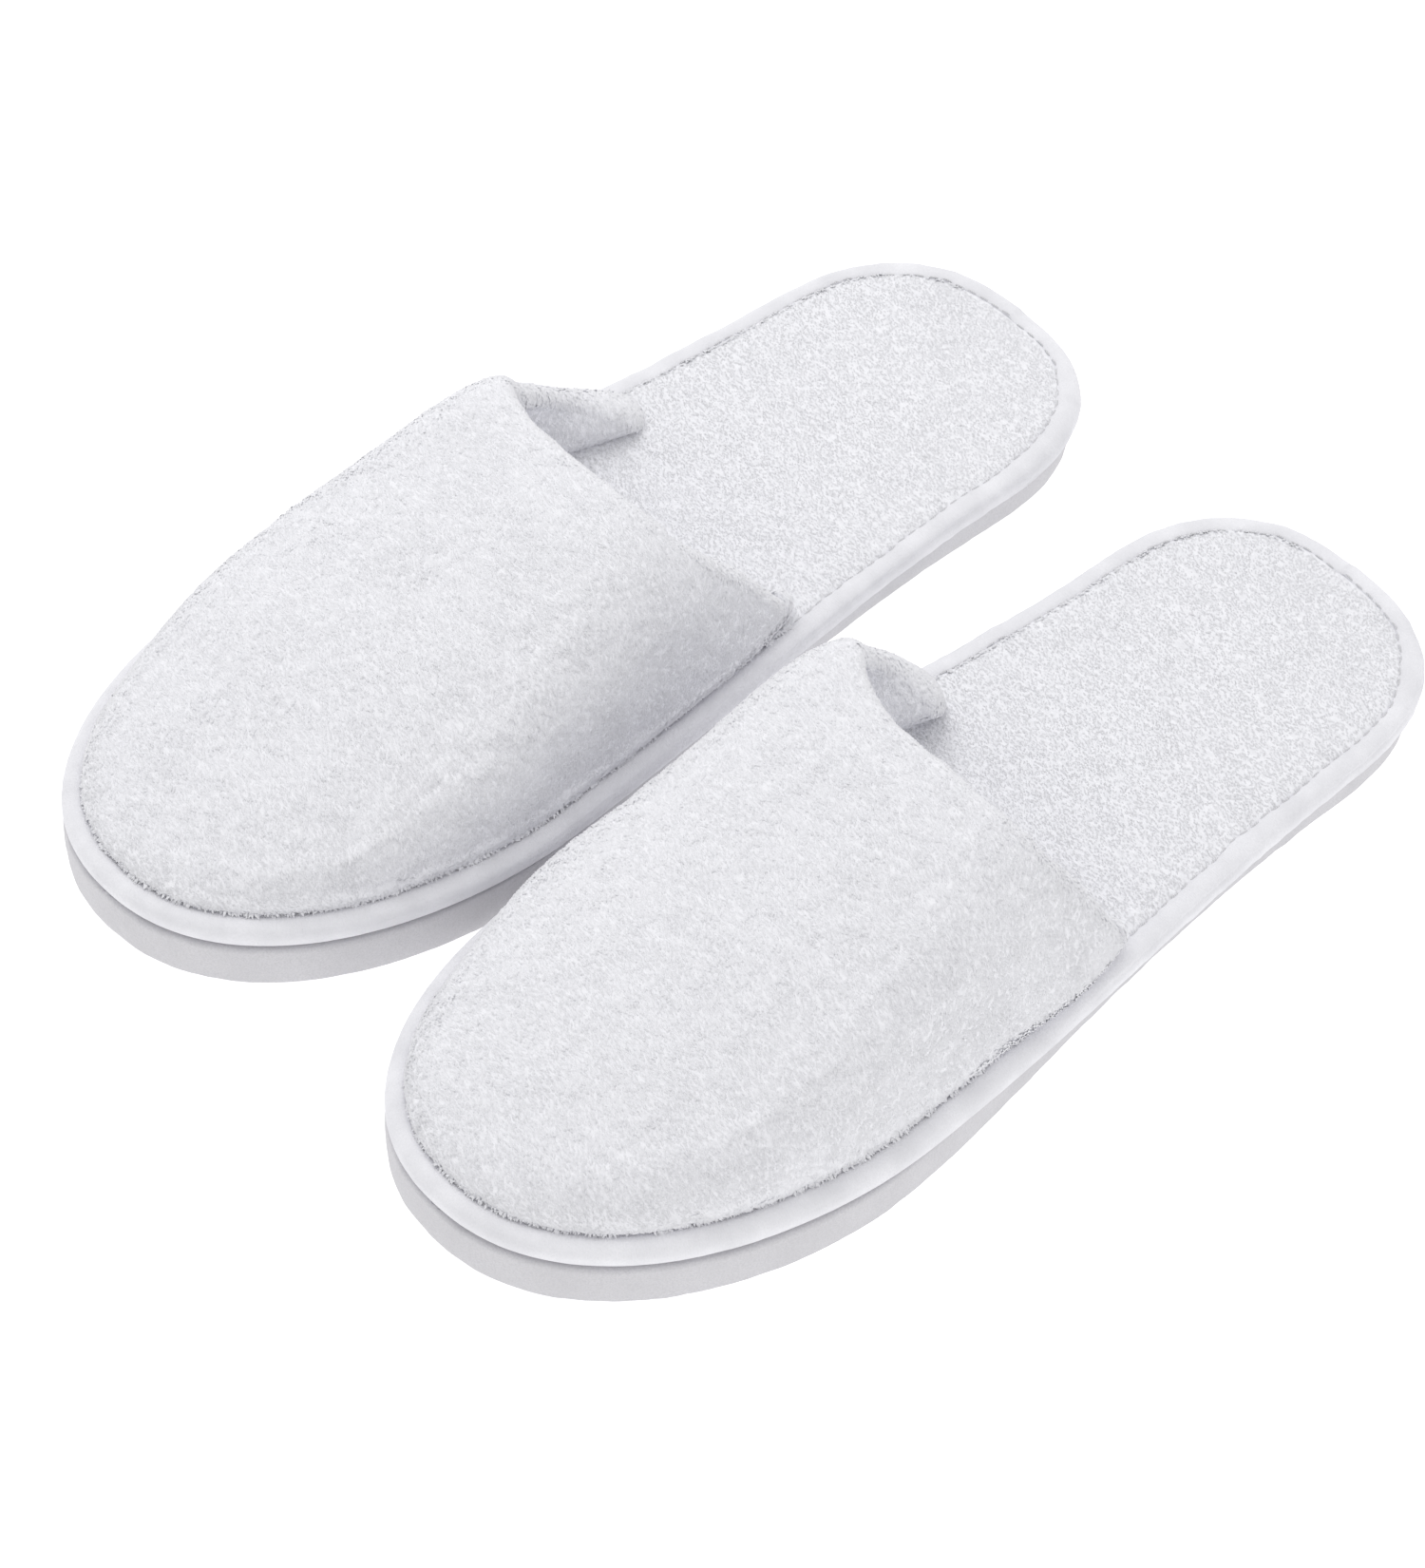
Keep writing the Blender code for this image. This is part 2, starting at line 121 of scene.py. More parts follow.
def lattice_value(cell, seed):
    """A repeatable value from -1 to 1 for each whole-number cell."""
    key = cell[..., 0] * 73856093 ^ cell[..., 1] * 19349663 ^ cell[..., 2] * 83492791 ^ seed * 668265263
    key = (key ^ (key >> 13)) * 1274126177 & 0x7FFFFFFF
    key = (key ^ (key >> 15)) * 1103515245 & 0x7FFFFFFF
    return (key ^ (key >> 11)) / 0x3FFFFFFF - 1.0


def noise(points, size, seed):
    """Smooth noise from -1 to 1. size is the width of one feature, or its width along x, y and z."""
    scaled = np.asarray(points) / size + 512.0
    low = np.floor(scaled).astype(np.int64)
    share = smoothstep(scaled - low)
    total = 0.0
    for corner in np.ndindex(2, 2, 2):
        weight = np.prod(np.where(corner, share, 1.0 - share), axis=-1)
        total = total + weight * lattice_value(low + corner, seed)
    return total


def layered(points, seed, *layers):
    """Noise made of layers, each given by its height and the width of its features."""
    return sum(height * noise(points, size, seed + k) for k, (height, size) in enumerate(layers))


def along_line(distance, size, seed):
    """Smooth noise along one length."""
    return noise(np.stack([distance, 0.0 * distance, 0.0 * distance], axis=-1), size, seed)


def travel(path):
    """Distance along a path at each of its points."""
    return np.concatenate([[0.0], np.cumsum(np.linalg.norm(np.diff(path, axis=0), axis=1))])


def at_distances(values, travelled, distances):
    """Values of a path's three columns at given distances along it."""
    return np.stack([np.interp(distances, travelled, column) for column in values.T], axis=1)


def by_side(pair, across):
    """The value for the outer or the inner side, whichever each across value lies on."""
    outer, inner = pair
    return np.where(across > 0.0, outer, inner)


# ---- outline and heights


def half_width(y):
    """Half the slipper's width at y: a smooth taper closed by two superellipse caps."""
    u = np.clip(y / LENGTH, 0.0, 1.0)
    taper = smoothstep((u - TAPER_START) / (TAPER_END - TAPER_START))
    width = HEEL_WIDTH + (BALL_WIDTH - HEEL_WIDTH) * taper
    heel = np.clip((HEEL_CAP - u) / HEEL_CAP, 0.0, 1.0)
    toe = np.clip((u - 1.0 + TOE_CAP) / TOE_CAP, 0.0, 1.0)
    heel_cap = (1.0 - heel ** HEEL_CAP_POWER) ** (1.0 / HEEL_CAP_POWER)
    toe_cap = (1.0 - toe ** TOE_CAP_POWER) ** (1.0 / TOE_CAP_POWER)
    return 0.5 * width * heel_cap * toe_cap


def outline_loop():
    """Closed loop up the outer side, round the toe and back, with its outward normals."""
    y = 0.5 * LENGTH * (1.0 - np.cos(np.linspace(0.0, math.pi, OUTLINE_ROWS)))
    centre = CENTRE_BOW * np.sin(math.pi * y / LENGTH)
    outer = np.stack([centre + half_width(y), y], axis=1)
    inner = np.stack([centre - half_width(y), y], axis=1)[::-1]
    loop = np.vstack([outer, inner[1:-1]])
    tangent = np.roll(loop, -1, axis=0) - np.roll(loop, 1, axis=0)
    return loop, unit(np.stack([tangent[:, 1], -tangent[:, 0], 0.0 * tangent[:, 0]], axis=1))


OUTLINE, OUTWARD = outline_loop()
TRAVELLED = travel(OUTLINE)


def inset_loop(inset):
    """The outline moved in by a distance, or by one distance for each point."""
    return OUTLINE - OUTWARD[:, :2] * np.broadcast_to(inset, len(OUTLINE))[:, None]


def loop_sides(loop):
    """The outer and the inner side of a loop, each from heel to toe."""
    return loop[:OUTLINE_ROWS], np.vstack([loop[:1], loop[OUTLINE_ROWS - 1:][::-1]])


def edge_distance(points):
    """Distance from each point in to the outline."""
    flat = points[..., :2].reshape(-1, 2)
    nearest = np.full(len(flat), np.inf)
    block = 8
    for start in range(0, len(OUTLINE), block):
        gaps = np.linalg.norm(flat[:, None, :] - OUTLINE[None, start:start + block, :], axis=-1)
        nearest = np.minimum(nearest, gaps.min(axis=1))
    return nearest.reshape(points.shape[:-1])


SOLE_HEEL_THICKNESS = 9.0 * MM
SOLE_TOE_THICKNESS = 11.5 * MM
TOE_SPRING = 5.0 * MM
TOE_SPRING_START = 0.65


def sole_bottom(y):
    return TOE_SPRING * np.clip((y / LENGTH - TOE_SPRING_START) / (1.0 - TOE_SPRING_START), 0.0, 1.0) ** 2


def sole_top(y):
    return sole_bottom(y) + SOLE_HEEL_THICKNESS + (SOLE_TOE_THICKNESS - SOLE_HEEL_THICKNESS) * y / LENGTH


def stand(plan, height):
    """Points over a plan, at a height above the sole's top face."""
    return np.column_stack([plan, sole_top(plan[:, 1]) + height])


# ---- mesh making


def grid_quads(rows, columns, first=0, closed=False):
    index = first + np.arange(rows * columns).reshape(rows, columns)
    if closed:
        index = np.hstack([index, index[:, :1]])
    corners = (index[:-1, :-1], index[:-1, 1:], index[1:, 1:], index[1:, :-1])
    return np.stack(corners, axis=-1).reshape(-1, 4)


def wall_and_caps(wall, *caps):
    """Points and faces of a closed wall of loops and of the grids that close it."""
    points, faces, first = [], [], 0
    for grid in (wall, *caps):
        rows, columns = grid.shape[:2]
        points.append(grid.reshape(-1, 3))
        faces.append(grid_quads(rows, columns, first, closed=grid is wall))
        first += rows * columns
    return np.vstack(points), faces


def pad_between(outer, inner):
    """Points and faces of a pad: two grid sheets joined round their rims."""
    rows, columns = outer.shape[:2]
    size = rows * columns
    index = np.arange(size).reshape(rows, columns)
    rim = np.concatenate([index[0], index[1:, -1], index[-1, -2::-1], index[-2:0:-1, 0]])
    after = np.roll(rim, -1)
    sides = np.stack([rim, after, size + after, size + rim], axis=-1)
    quads = grid_quads(rows, columns)
    return np.vstack([outer.reshape(-1, 3), inner.reshape(-1, 3)]), [quads, size + quads, sides]


def place(points, slipper):
    """From the slipper frame to the row frame."""
    x = SIDES[slipper] * points[..., 0] + HINGES[f"{slipper}_heel"].x
    return np.stack([x, HEEL_BACK - points[..., 1], points[..., 2]], axis=-1)


def weld(mesh):
    """Join the points that grids share along their borders and turn every face outwards."""
    bm = bmesh.new()
    bm.from_mesh(mesh)
    bmesh.ops.remove_doubles(bm, verts=bm.verts, dist=0.005 * MM)
    bmesh.ops.recalc_face_normals(bm, faces=bm.faces)
    bm.to_mesh(mesh)
    bm.free()


def follow(piece, slipper, bends, replaced):
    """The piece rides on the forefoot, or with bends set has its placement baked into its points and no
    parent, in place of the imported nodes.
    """
    forefoot, heel = f"{slipper}_forefoot", f"{slipper}_heel"
    if bends:
        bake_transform(piece)
        replaced = [f"{layer}_{half}" for layer in replaced for half in ("front", "rear")]
    else:
        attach(piece, forefoot)
    if replaced:
        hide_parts(*[f"{slipper}_{node}" for node in replaced])


def add_piece(
    slipper, name, points, face_groups, finish, slot, *replaced,
    bends=False, welded=False, uvs=None, shades=None, shading=None,
):
    """A smooth mesh piece from points in the slipper frame and arrays of faces.

    shades run from 0 at a tuft's root, which is coloured with painted shade, to 1 at its crest, and shading
    holds normals of the tufts' own.
    """
    name = f"{slipper}_{name}"
    placed = place(points.reshape(-1, 3), slipper)
    groups = [faces[:, ::-1] if SIDES[slipper] > 0.0 else faces for faces in face_groups]
    corners = np.concatenate([faces.ravel() for faces in groups])
    sizes = np.concatenate([np.full(len(faces), faces.shape[1]) for faces in groups])
    mesh = bpy.data.meshes.new(name)
    mesh.vertices.add(len(placed))
    mesh.vertices.foreach_set("co", placed.astype(np.float32).ravel())
    mesh.loops.add(len(corners))
    mesh.loops.foreach_set("vertex_index", corners.astype(np.int32))
    mesh.polygons.add(len(sizes))
    mesh.polygons.foreach_set("loop_start", (np.cumsum(sizes) - sizes).astype(np.int32))
    mesh.polygons.foreach_set("loop_total", sizes.astype(np.int32))
    mesh.polygons.foreach_set("use_smooth", np.ones(len(sizes), bool))
    if uvs is not None:
        layer = mesh.uv_layers.new(name="cloth")
        layer.data.foreach_set("uv", uvs[corners].astype(np.float32).ravel())
    if shades is not None:
        layer = mesh.attributes.new("root_to_tip", "FLOAT", "POINT")
        layer.data.foreach_set("value", shades.astype(np.float32))
    mesh.update(calc_edges=True)
    mesh.validate()
    mesh.materials.append(finish)
    if welded:
        weld(mesh)
    if shading is not None:
        turned = shading * np.array([SIDES[slipper], -1.0, 1.0])
        mesh.normals_split_custom_set_from_vertices(turned.tolist())
    piece = bpy.data.objects.new(name, mesh)
    bpy.context.scene.collection.objects.link(piece)
    follow(piece, slipper, bends, replaced)


def sheet_normals(points):
    """Normals of a grid whose columns run outwards and whose rows run to the toe: upwards."""
    return unit(np.cross(np.gradient(points, axis=1), np.gradient(points, axis=0)))


def ladder(loop, columns):
    """Grid that fills a loop with rungs from its inner side to its outer side."""
    outer, inner = loop_sides(loop)
    share = np.linspace(0.0, 1.0, columns)[None, :, None]
    return inner[:, None, :] * (1.0 - share) + outer[:, None, :] * share


# ---- materials


BAND_AT_SCALE_ONE = 0.314  # width of one band of the wave texture when its scale is 1


class Nodes:
    """A new material with short calls for its nodes. Sizes are the widths of features, in metres."""

    def __init__(self, name, colour, roughness, stretch=(1.0, 1.0, 1.0)):
        """stretch divides a feature's width along each axis."""
        self.material = bpy.data.materials.new(name)
        self.material.use_nodes = True
        self.tree = self.material.node_tree
        self.shader = self.tree.nodes["Principled BSDF"]
        self.shader.inputs["Base Color"].default_value = (*colour, 1.0)
        self.shader.inputs["Roughness"].default_value = roughness
        self.material.diffuse_color = (*colour, 1.0)
        source = self.add("ShaderNodeTexCoord").outputs["Object"]
        self.space = self.add("ShaderNodeMapping", Vector=source, Scale=stretch).outputs["Vector"]

    def connect(self, value, socket):
        if isinstance(value, bpy.types.NodeSocket):
            self.tree.links.new(value, socket)
        else:
            socket.default_value = value

    def add(self, kind, **inputs):
        node = self.tree.nodes.new(kind)
        for key, value in inputs.items():
            self.connect(value, node.inputs[key.replace("_", " ")])
        return node

    def noise(self, size, detail=2.0, roughness=0.5):
        settings = {"Scale": 1.0 / size, "Detail": detail, "Roughness": roughness}
        return self.add("ShaderNodeTexNoise", Vector=self.space, **settings).outputs["Fac"]

    def cells(self, size):
        return self.add("ShaderNodeTexVoronoi", Vector=self.space, Scale=1.0 / size).outputs["Distance"]

    def bands(self, vector, size, distortion, direction):
        scale = BAND_AT_SCALE_ONE / size
        node = self.add("ShaderNodeTexWave", Vector=vector, Scale=scale, Distortion=distortion, Detail=2.0)
        node.bands_direction = direction
        return node.outputs["Fac"]

    def ramp(self, factor, low, high, from_low=0.0, from_high=1.0):
        ends = {"From_Min": from_low, "From_Max": from_high, "To_Min": low, "To_Max": high}
        return self.add("ShaderNodeMapRange", Value=factor, **ends).outputs["Result"]

    def multiply(self, first, second):
        node = self.tree.nodes.new("ShaderNodeMath")
        node.operation = "MULTIPLY"
        self.connect(first, node.inputs[0])
        self.connect(second, node.inputs[1])
        return node.outputs["Value"]

    def blend(self, factor, low, high):
        node = self.tree.nodes.new("ShaderNodeMix")
        node.data_type = "RGBA"
        self.connect(factor, node.inputs["Factor"])
        for name, colour in (("A", low), ("B", high)):
            self.connect((*colour, 1.0) if isinstance(colour, tuple) else colour, node.inputs[name])
        return node.outputs["Result"]

    def bump(self, height, distance, strength, below=None):
        node = self.add("ShaderNodeBump", Height=height, Distance=distance, Strength=strength)
        if below is not None:
            self.connect(below, node.inputs["Normal"])
        return node.outputs["Normal"]

    def finished(self, colour, roughness, normal=None, gloss=0.5, sheen=(0.0, 0.5), glow=0.0):
        """The material, with its shader set. gloss is its mirror-like share, glow its own light."""
        weight, softness = sheen
        settings = {
            "Base Color": colour, "Roughness": roughness, "Normal": normal, "Specular IOR Level": gloss,
            "Sheen Weight": weight, "Sheen Roughness": softness, "Emission Strength": glow,
            "Emission Color": (1.0, 1.0, 1.0, 1.0),
        }
        for name, value in settings.items():
            if value is not None:
                self.connect(value, self.shader.inputs[name])
        return self.material


PLUSH_LIGHT = (0.90, 0.90, 0.932)
PLUSH_SHADE = (0.875, 0.876, 0.907)
# painted shade: the ground cloth between the tufts is coloured darker as the shade in its pits
PLUSH_PIT_SHADE = (0.76, 0.762, 0.792)
# painted shade at the tufts' roots, where the pile shades itself; also the lighter end of the ground cloth's
# painted pit shade
PLUSH_ROOT_SHADE = (0.86, 0.861, 0.892)
FOOTBED_TONE = 0.89  # the footbed's pile is this much darker than the vamp's
LINING_PAINTED_GLOW = 0.20  # painted glow: the lining and its pile give off light of their own, lifting the shade in the wings' hollows in place of light soaking through from behind


@cache
def cloth_finish(name, glow=0.0):
    """The ground of the plush, seen between the tufts, coloured with painted shade of the pits there, darker
    still where its bump is low.
    """
    cloth = Nodes(name, PLUSH_SHADE, 0.95, stretch=(0.5, 1.0, 1.0))
    patches = cloth.noise(1.3 * MM, detail=3.0, roughness=0.6)
    fibres = cloth.noise(0.35 * MM)
    # painted pit shade: the low patches of the bump get the darker colour
    colour = cloth.blend(cloth.ramp(patches, 0.0, 1.0, 0.30, 0.62), PLUSH_PIT_SHADE, PLUSH_ROOT_SHADE)
    normal = cloth.bump(fibres, 0.2 * MM, 0.5, cloth.bump(patches, 0.5 * MM, 0.5))
    rough = cloth.ramp(fibres, 0.85, 1.0)
    return cloth.finished(colour, rough, normal, gloss=0.0, sheen=(0.08, 0.6), glow=glow)


@cache
def pile_finish(name, tone=1.0, glow=0.0):
    """Tufts: a root coloured with painted shade, a light tip and fine fibres along them. tone scales their
    colours.
    """
    tones = [tuple(tone * part for part in colour) for colour in (PLUSH_LIGHT, PLUSH_SHADE, PLUSH_ROOT_SHADE)]
    light, shade, root = tones
    pile = Nodes(name, light, 0.9, stretch=(0.4, 1.0, 1.0))
    patches = pile.noise(4.0 * MM, detail=3.0, roughness=0.6)
    fibres = pile.noise(0.3 * MM)
    height = pile.tree.nodes.new("ShaderNodeAttribute")
    height.attribute_name = "root_to_tip"
    # painted shade: the root colour near the cloth, blending to the light colour towards the crest
    body = pile.blend(pile.ramp(height.outputs["Fac"], 0.0, 1.0, 0.0, 0.7), root, light)
    colour = pile.blend(pile.ramp(patches, 0.0, 0.25, 0.62, 0.40), body, shade)
    normal = pile.bump(fibres, 0.15 * MM, 0.4)
    rough = pile.ramp(fibres, 0.80, 1.0)
    return pile.finished(colour, rough, normal, gloss=0.0, sheen=(0.08, 0.5), glow=glow)


@cache
def binding_tape():
    """Brushed knit tape: fine ribs across it, a soft nap and faint tone changes."""
    tape = Nodes("binding_tape", (0.84, 0.84, 0.865), 0.8)
    source = tape.tree.nodes.new("ShaderNodeUVMap")
    source.uv_map = "cloth"
    ribs = tape.bands(source.outputs["UV"], 0.55 * MM, 2.0, "X")
    nap = tape.noise(0.5 * MM, detail=3.0, roughness=0.6)
    clouds = tape.noise(9.0 * MM)
    tone = tape.multiply(tape.ramp(nap, 0.4, 1.0), tape.ramp(clouds, 0.6, 1.2, 0.3, 0.7))
    colour = tape.blend(tone, (0.66, 0.659, 0.689), (0.84, 0.838, 0.87))
    normal = tape.bump(ribs, 0.05 * MM, 0.35, tape.bump(nap, 0.2 * MM, 0.8))
    return tape.finished(colour, tape.ramp(nap, 0.72, 0.95), normal, gloss=0.06, sheen=(0.08, 0.5))


@cache
def moulded_foam():
    """Closed-cell sole foam: fine pores, faint specks and a matt skin."""
    foam = Nodes("moulded_foam", (0.70, 0.705, 0.71), 0.65)
    pores = foam.cells(0.7 * MM)
    specks = foam.noise(0.45 * MM, detail=3.0, roughness=0.7)
    clouds = foam.noise(14.0 * MM)
    tone = foam.multiply(foam.ramp(specks, 0.2, 1.0, 0.32, 0.6), foam.ramp(clouds, 0.7, 1.15, 0.3, 0.7))
    colour = foam.blend(tone, (0.53, 0.524, 0.545), (0.64, 0.633, 0.657))
    normal = foam.bump(specks, 0.12 * MM, 0.4, foam.bump(pores, 0.10 * MM, 0.35))
    return foam.finished(colour, foam.ramp(specks, 0.55, 0.80), normal, gloss=0.15)


@cache
def fibre_board():
    """Pressed fibre board: short fibres and warm specks."""
    board = Nodes("fibre_board", (0.55, 0.47, 0.36), 0.85, stretch=(0.3, 1.0, 1.0))
    fibres = board.noise(0.8 * MM, detail=4.0, roughness=0.7)
    colour = board.blend(board.ramp(fibres, 0.0, 1.0, 0.35, 0.65), (0.44, 0.36, 0.26), (0.62, 0.54, 0.42))
    return board.finished(colour, board.ramp(fibres, 0.75, 0.95), board.bump(fibres, 0.1 * MM, 0.5))


@cache
def cushion_foam():
    """Open-cell padding foam."""
    foam = Nodes("cushion_foam", (0.80, 0.78, 0.70), 0.9)
    cells = foam.cells(0.9 * MM)
    colour = foam.blend(cells, (0.70, 0.67, 0.58), (0.84, 0.82, 0.75))
    return foam.finished(colour, foam.ramp(cells, 0.8, 1.0), foam.bump(cells, 0.3 * MM, 0.6))


@cache
def shade_painted_thread():
    """Spun thread: slanting twist ridges and loose fibres, coloured mid grey as painted shade of the stitch
    line sunk into the tape.
    """
    # painted shade: the thread's grey colours stand in for the shadow along the line of stitches
    thread = Nodes("shade_painted_thread", (0.62, 0.62, 0.64), 0.6, stretch=(1.0, 1.0, 0.6))
    twist = thread.bands(thread.space, 0.3 * MM, 1.5, "DIAGONAL")
    fibres = thread.noise(0.2 * MM)
    colour = thread.blend(twist, (0.54, 0.54, 0.56), (0.68, 0.68, 0.70))
    normal = thread.bump(twist, 0.1 * MM, 0.6)
    return thread.finished(colour, thread.ramp(fibres, 0.5, 0.75), normal, sheen=(0.2, 0.4))


# ---- pile


TUFT_CREST = 0.42  # where a tuft is highest, as a share of its length
TUFT_SINK = 0.35  # how deep its root sits, as a share of its lift
TUFT_CONTRAST = 0.34  # how far a tuft's shading departs from that of the cloth under it
TUFT_LIFT = 0.36 * MM
TUFT_SCATTER = 0.22  # spread of the tufts' directions, in radians, and of their sizes
VAMP_PITS = (0.9 * MM, 0.56)  # width of the pile's bare pits, and the noise level that opens one
FOOTBED_PITS = (0.65 * MM, 0.38)
FRINGE_DENSITY = 4200.0  # tufts to the metre along an edge of the pile
FRINGE_LENGTH = 1.25 * MM
FRINGE_LIFT = 0.30 * MM
FRINGE_REACH = (-0.2 * MM, 0.9 * MM)  # heights of its roots about the edge


def nap_directions(points, normals, lay, seed, rng):
    """Unit directions in the surface along which the tufts lie, swirling from place to place."""
    flat = unit(lay - normals * np.sum(lay * normals, axis=-1, keepdims=True))
    swirl = layered(points, seed, (0.22, 18 * MM), (0.16, 6 * MM))
    turn = swirl + rng.normal(0.0, TUFT_SCATTER, len(points))
    return flat * np.cos(turn)[:, None] + np.cross(normals, flat) * np.sin(turn)[:, None]


def scatter(points, normals, density, rng):
    """Places and normals spread evenly over a grid sheet, density to the square metre."""
    a, b, c, d = points[:-1, :-1], points[:-1, 1:], points[1:, 1:], points[1:, :-1]
    area = 0.5 * np.linalg.norm(np.cross(b - a, d - a), axis=-1)
    area += 0.5 * np.linalg.norm(np.cross(b - c, d - c), axis=-1)
    running = np.cumsum((area * density).ravel()) + rng.uniform()
    counts = np.diff(np.floor(running), prepend=0.0).astype(int)
    row, column = np.unravel_index(np.repeat(np.arange(area.size), counts), area.shape)
    s = rng.uniform(size=(len(row), 1))
    t = rng.uniform(size=(len(row), 1))

    def between(values):
        top = values[row, column] * (1.0 - s) + values[row, column + 1] * s
        low = values[row + 1, column] * (1.0 - s) + values[row + 1, column + 1] * s
        return top * (1.0 - t) + low * t

    return between(points), unit(between(normals))


def add_tufts(slipper, name, finish, bends, roots, normals, nap, length, width, lift, tip_lift):
    """Short tufts lying along the nap: each rises from the cloth to a crest and tapers to its tip."""
    sideways = np.cross(normals, nap)
    middle = roots + nap * (TUFT_CREST * length)[:, None]
    sunk = normals * (TUFT_SINK * lift)[:, None]
    half = sideways * (0.5 * width)[:, None]
    corners = [
        middle + normals * lift[:, None],
        roots - sunk,
        middle - half - sunk,
        roots + nap * length[:, None] + normals * (tip_lift * lift)[:, None],
        middle + half - sunk,
    ]
    leanings = [normals, -nap, -sideways, nap, sideways]
    points = np.stack(corners, axis=1).reshape(-1, 3)
    shading = np.stack([unit(normals + TUFT_CONTRAST * lean) for lean in leanings], axis=1).reshape(-1, 3)
    first = (np.arange(len(roots)) * len(corners))[:, None]
    faces = np.concatenate([first + np.array([[0, 1 + k, 1 + (k + 1) % 4]]) for k in range(4)])
    # painted shade: the root and the sunk side corners get 0, the darkest colour, the crest 1 and the tip 0.8
    shades = np.tile([1.0, 0.0, 0.0, 0.8, 0.0], len(roots))
    add_piece(slipper, name, points, [faces], finish, "plush", bends=bends, shades=shades, shading=shading)


def grow_pile(
    slipper, name, sheet, normals, lay, finish, seed,
    density, length, width, pits=VAMP_PITS, rim=0.0, bends=False,
):
    """Tufts over a grid sheet, none nearer to the outline than rim."""
    rng = np.random.default_rng(seed)
    roots, up = scatter(sheet, normals, density, rng)
    pit_width, pit_level = pits
    bare = noise(roots, pit_width, seed + 4) > pit_level
    if rim > 0.0:
        bare |= edge_distance(roots) < rim + 0.7 * MM * noise(roots, 3.5 * MM, seed + 3)
    roots, up = roots[~bare], up[~bare]
    nap = nap_directions(roots, up, lay, seed, rng)
    size = np.clip(rng.normal(1.0, TUFT_SCATTER, len(roots)), 0.5, 1.6)
    lift = TUFT_LIFT * (1.0 + 0.20 * noise(roots, 3.5 * MM, seed + 2))
    tip_lift = rng.uniform(-0.3, 0.45, len(roots))
    length, width = length * size, width * np.sqrt(size)
    add_tufts(slipper, name, finish, bends, roots, up, nap, length, width, lift, tip_lift)


def grow_fringe(slipper, name, path, outward, finish, seed, bends=False):
    """Ragged edge of the pile, lying out over the binding along a path."""
    rng = np.random.default_rng(seed)
    travelled = travel(path)
    places = np.sort(rng.uniform(0.0, travelled[-1], int(travelled[-1] * FRINGE_DENSITY)))
    roots = at_distances(path, travelled, places)
    out = unit(at_distances(outward, travelled, places))
    upright = np.array([0.0, 0.0, 1.0])
    along = np.cross(out, upright)
    roots = roots - out * rng.uniform(0.0, 0.7 * MM, (len(roots), 1))
    roots[:, 2] += rng.uniform(*FRINGE_REACH, len(roots))
    nap = unit(out * 0.8 + along * rng.normal(0.0, 0.45, (len(roots), 1)) - 0.55 * upright)
    up = unit(np.cross(np.cross(nap, out * 0.4 + upright), nap))
    bunch = 1.0 + 0.5 * along_line(places, 2.5 * MM, seed)
    length = FRINGE_LENGTH * bunch * rng.uniform(0.7, 1.3, len(roots))
    width = rng.uniform(0.45, 0.75, len(roots)) * MM
    lift = np.full(len(roots), FRINGE_LIFT)
    add_tufts(slipper, name, finish, bends, roots, up, nap, length, width, lift, np.zeros(len(roots)))


def cloth_relief(points, seed):
    """Height of the plush ground: clumps drawn out along x, with finer knots."""
    clumps = (0.16 * MM, (3.2 * MM, 1.4 * MM, 1.4 * MM))
    knots = (0.12 * MM, (1.6 * MM, 0.9 * MM, 0.9 * MM))
    return layered(points, seed, clumps, knots)


# ---- sole and insole core


SOLE_INSET_HEEL = 2.5 * MM
SOLE_INSET_WAIST = 4.8 * MM
SOLE_WAIST = 0.40  # where the sole is furthest in, as a fraction of the length
SOLE_EDGE = 1.0 * MM  # radius of the sole's edges
SOLE_BULGE = 0.25 * MM
SOLE_COLUMNS = 84
TREAD_PITCH = 5.0 * MM
TREAD_DEPTH = 0.7 * MM
TREAD_SWING = 3.0 * MM  # how far a tread groove waves to and fro
TREAD_WAVE = 15.0 * MM
TREAD_BAR = 0.62  # share of the pitch that stands as a bar
TREAD_SLOPE = 0.2
CORE_INSET = 2.5 * MM
CORE_COLUMNS = 12
SOLE_SEED = 71


def sole_inset(y):
    u = y / LENGTH
    rear = SOLE_INSET_HEEL + (SOLE_INSET_WAIST - SOLE_INSET_HEEL) * smoothstep(u / SOLE_WAIST)
    return rear * (1.0 - smoothstep((u - SOLE_WAIST) / SOLE_WAIST))


def carve_tread(points, share):
    """Wavy grooves across the sole, at a share of their depth."""
    swing = TREAD_SWING * np.sin(2.0 * math.pi * points[..., 0] / TREAD_WAVE)
    phase = (points[..., 1] + swing) / TREAD_PITCH % 1.0
    groove = smoothstep((np.abs(2.0 * phase - 1.0) - TREAD_BAR) / TREAD_SLOPE)
    points[..., 2] += TREAD_DEPTH * groove * share


def sole_rings():
    """Loops of the sole's wall from its bottom face up to its top face."""
    base = sole_inset(OUTLINE[:, 1])
    steps = [(angle, 0.0) for angle in np.linspace(0.0, 0.5 * math.pi, 6)]
    steps += [(0.5 * math.pi, share) for share in np.linspace(0.0, 1.0, 8)[1:-1]]
    steps += [(angle, 1.0) for angle in np.linspace(0.5 * math.pi, 0.0, 6)]
    loops = []
    for angle, share in steps:
        round_in = SOLE_EDGE * (1.0 - math.sin(angle))
        plan = inset_loop(base + round_in - SOLE_BULGE * math.sin(math.pi * share))
        rise = SOLE_EDGE * (1.0 - math.cos(angle))
        low = sole_bottom(plan[:, 1]) + rise
        high = sole_top(plan[:, 1]) - rise
        loops.append(np.column_stack([plan, low + (high - low) * share]))
    return np.stack(loops)


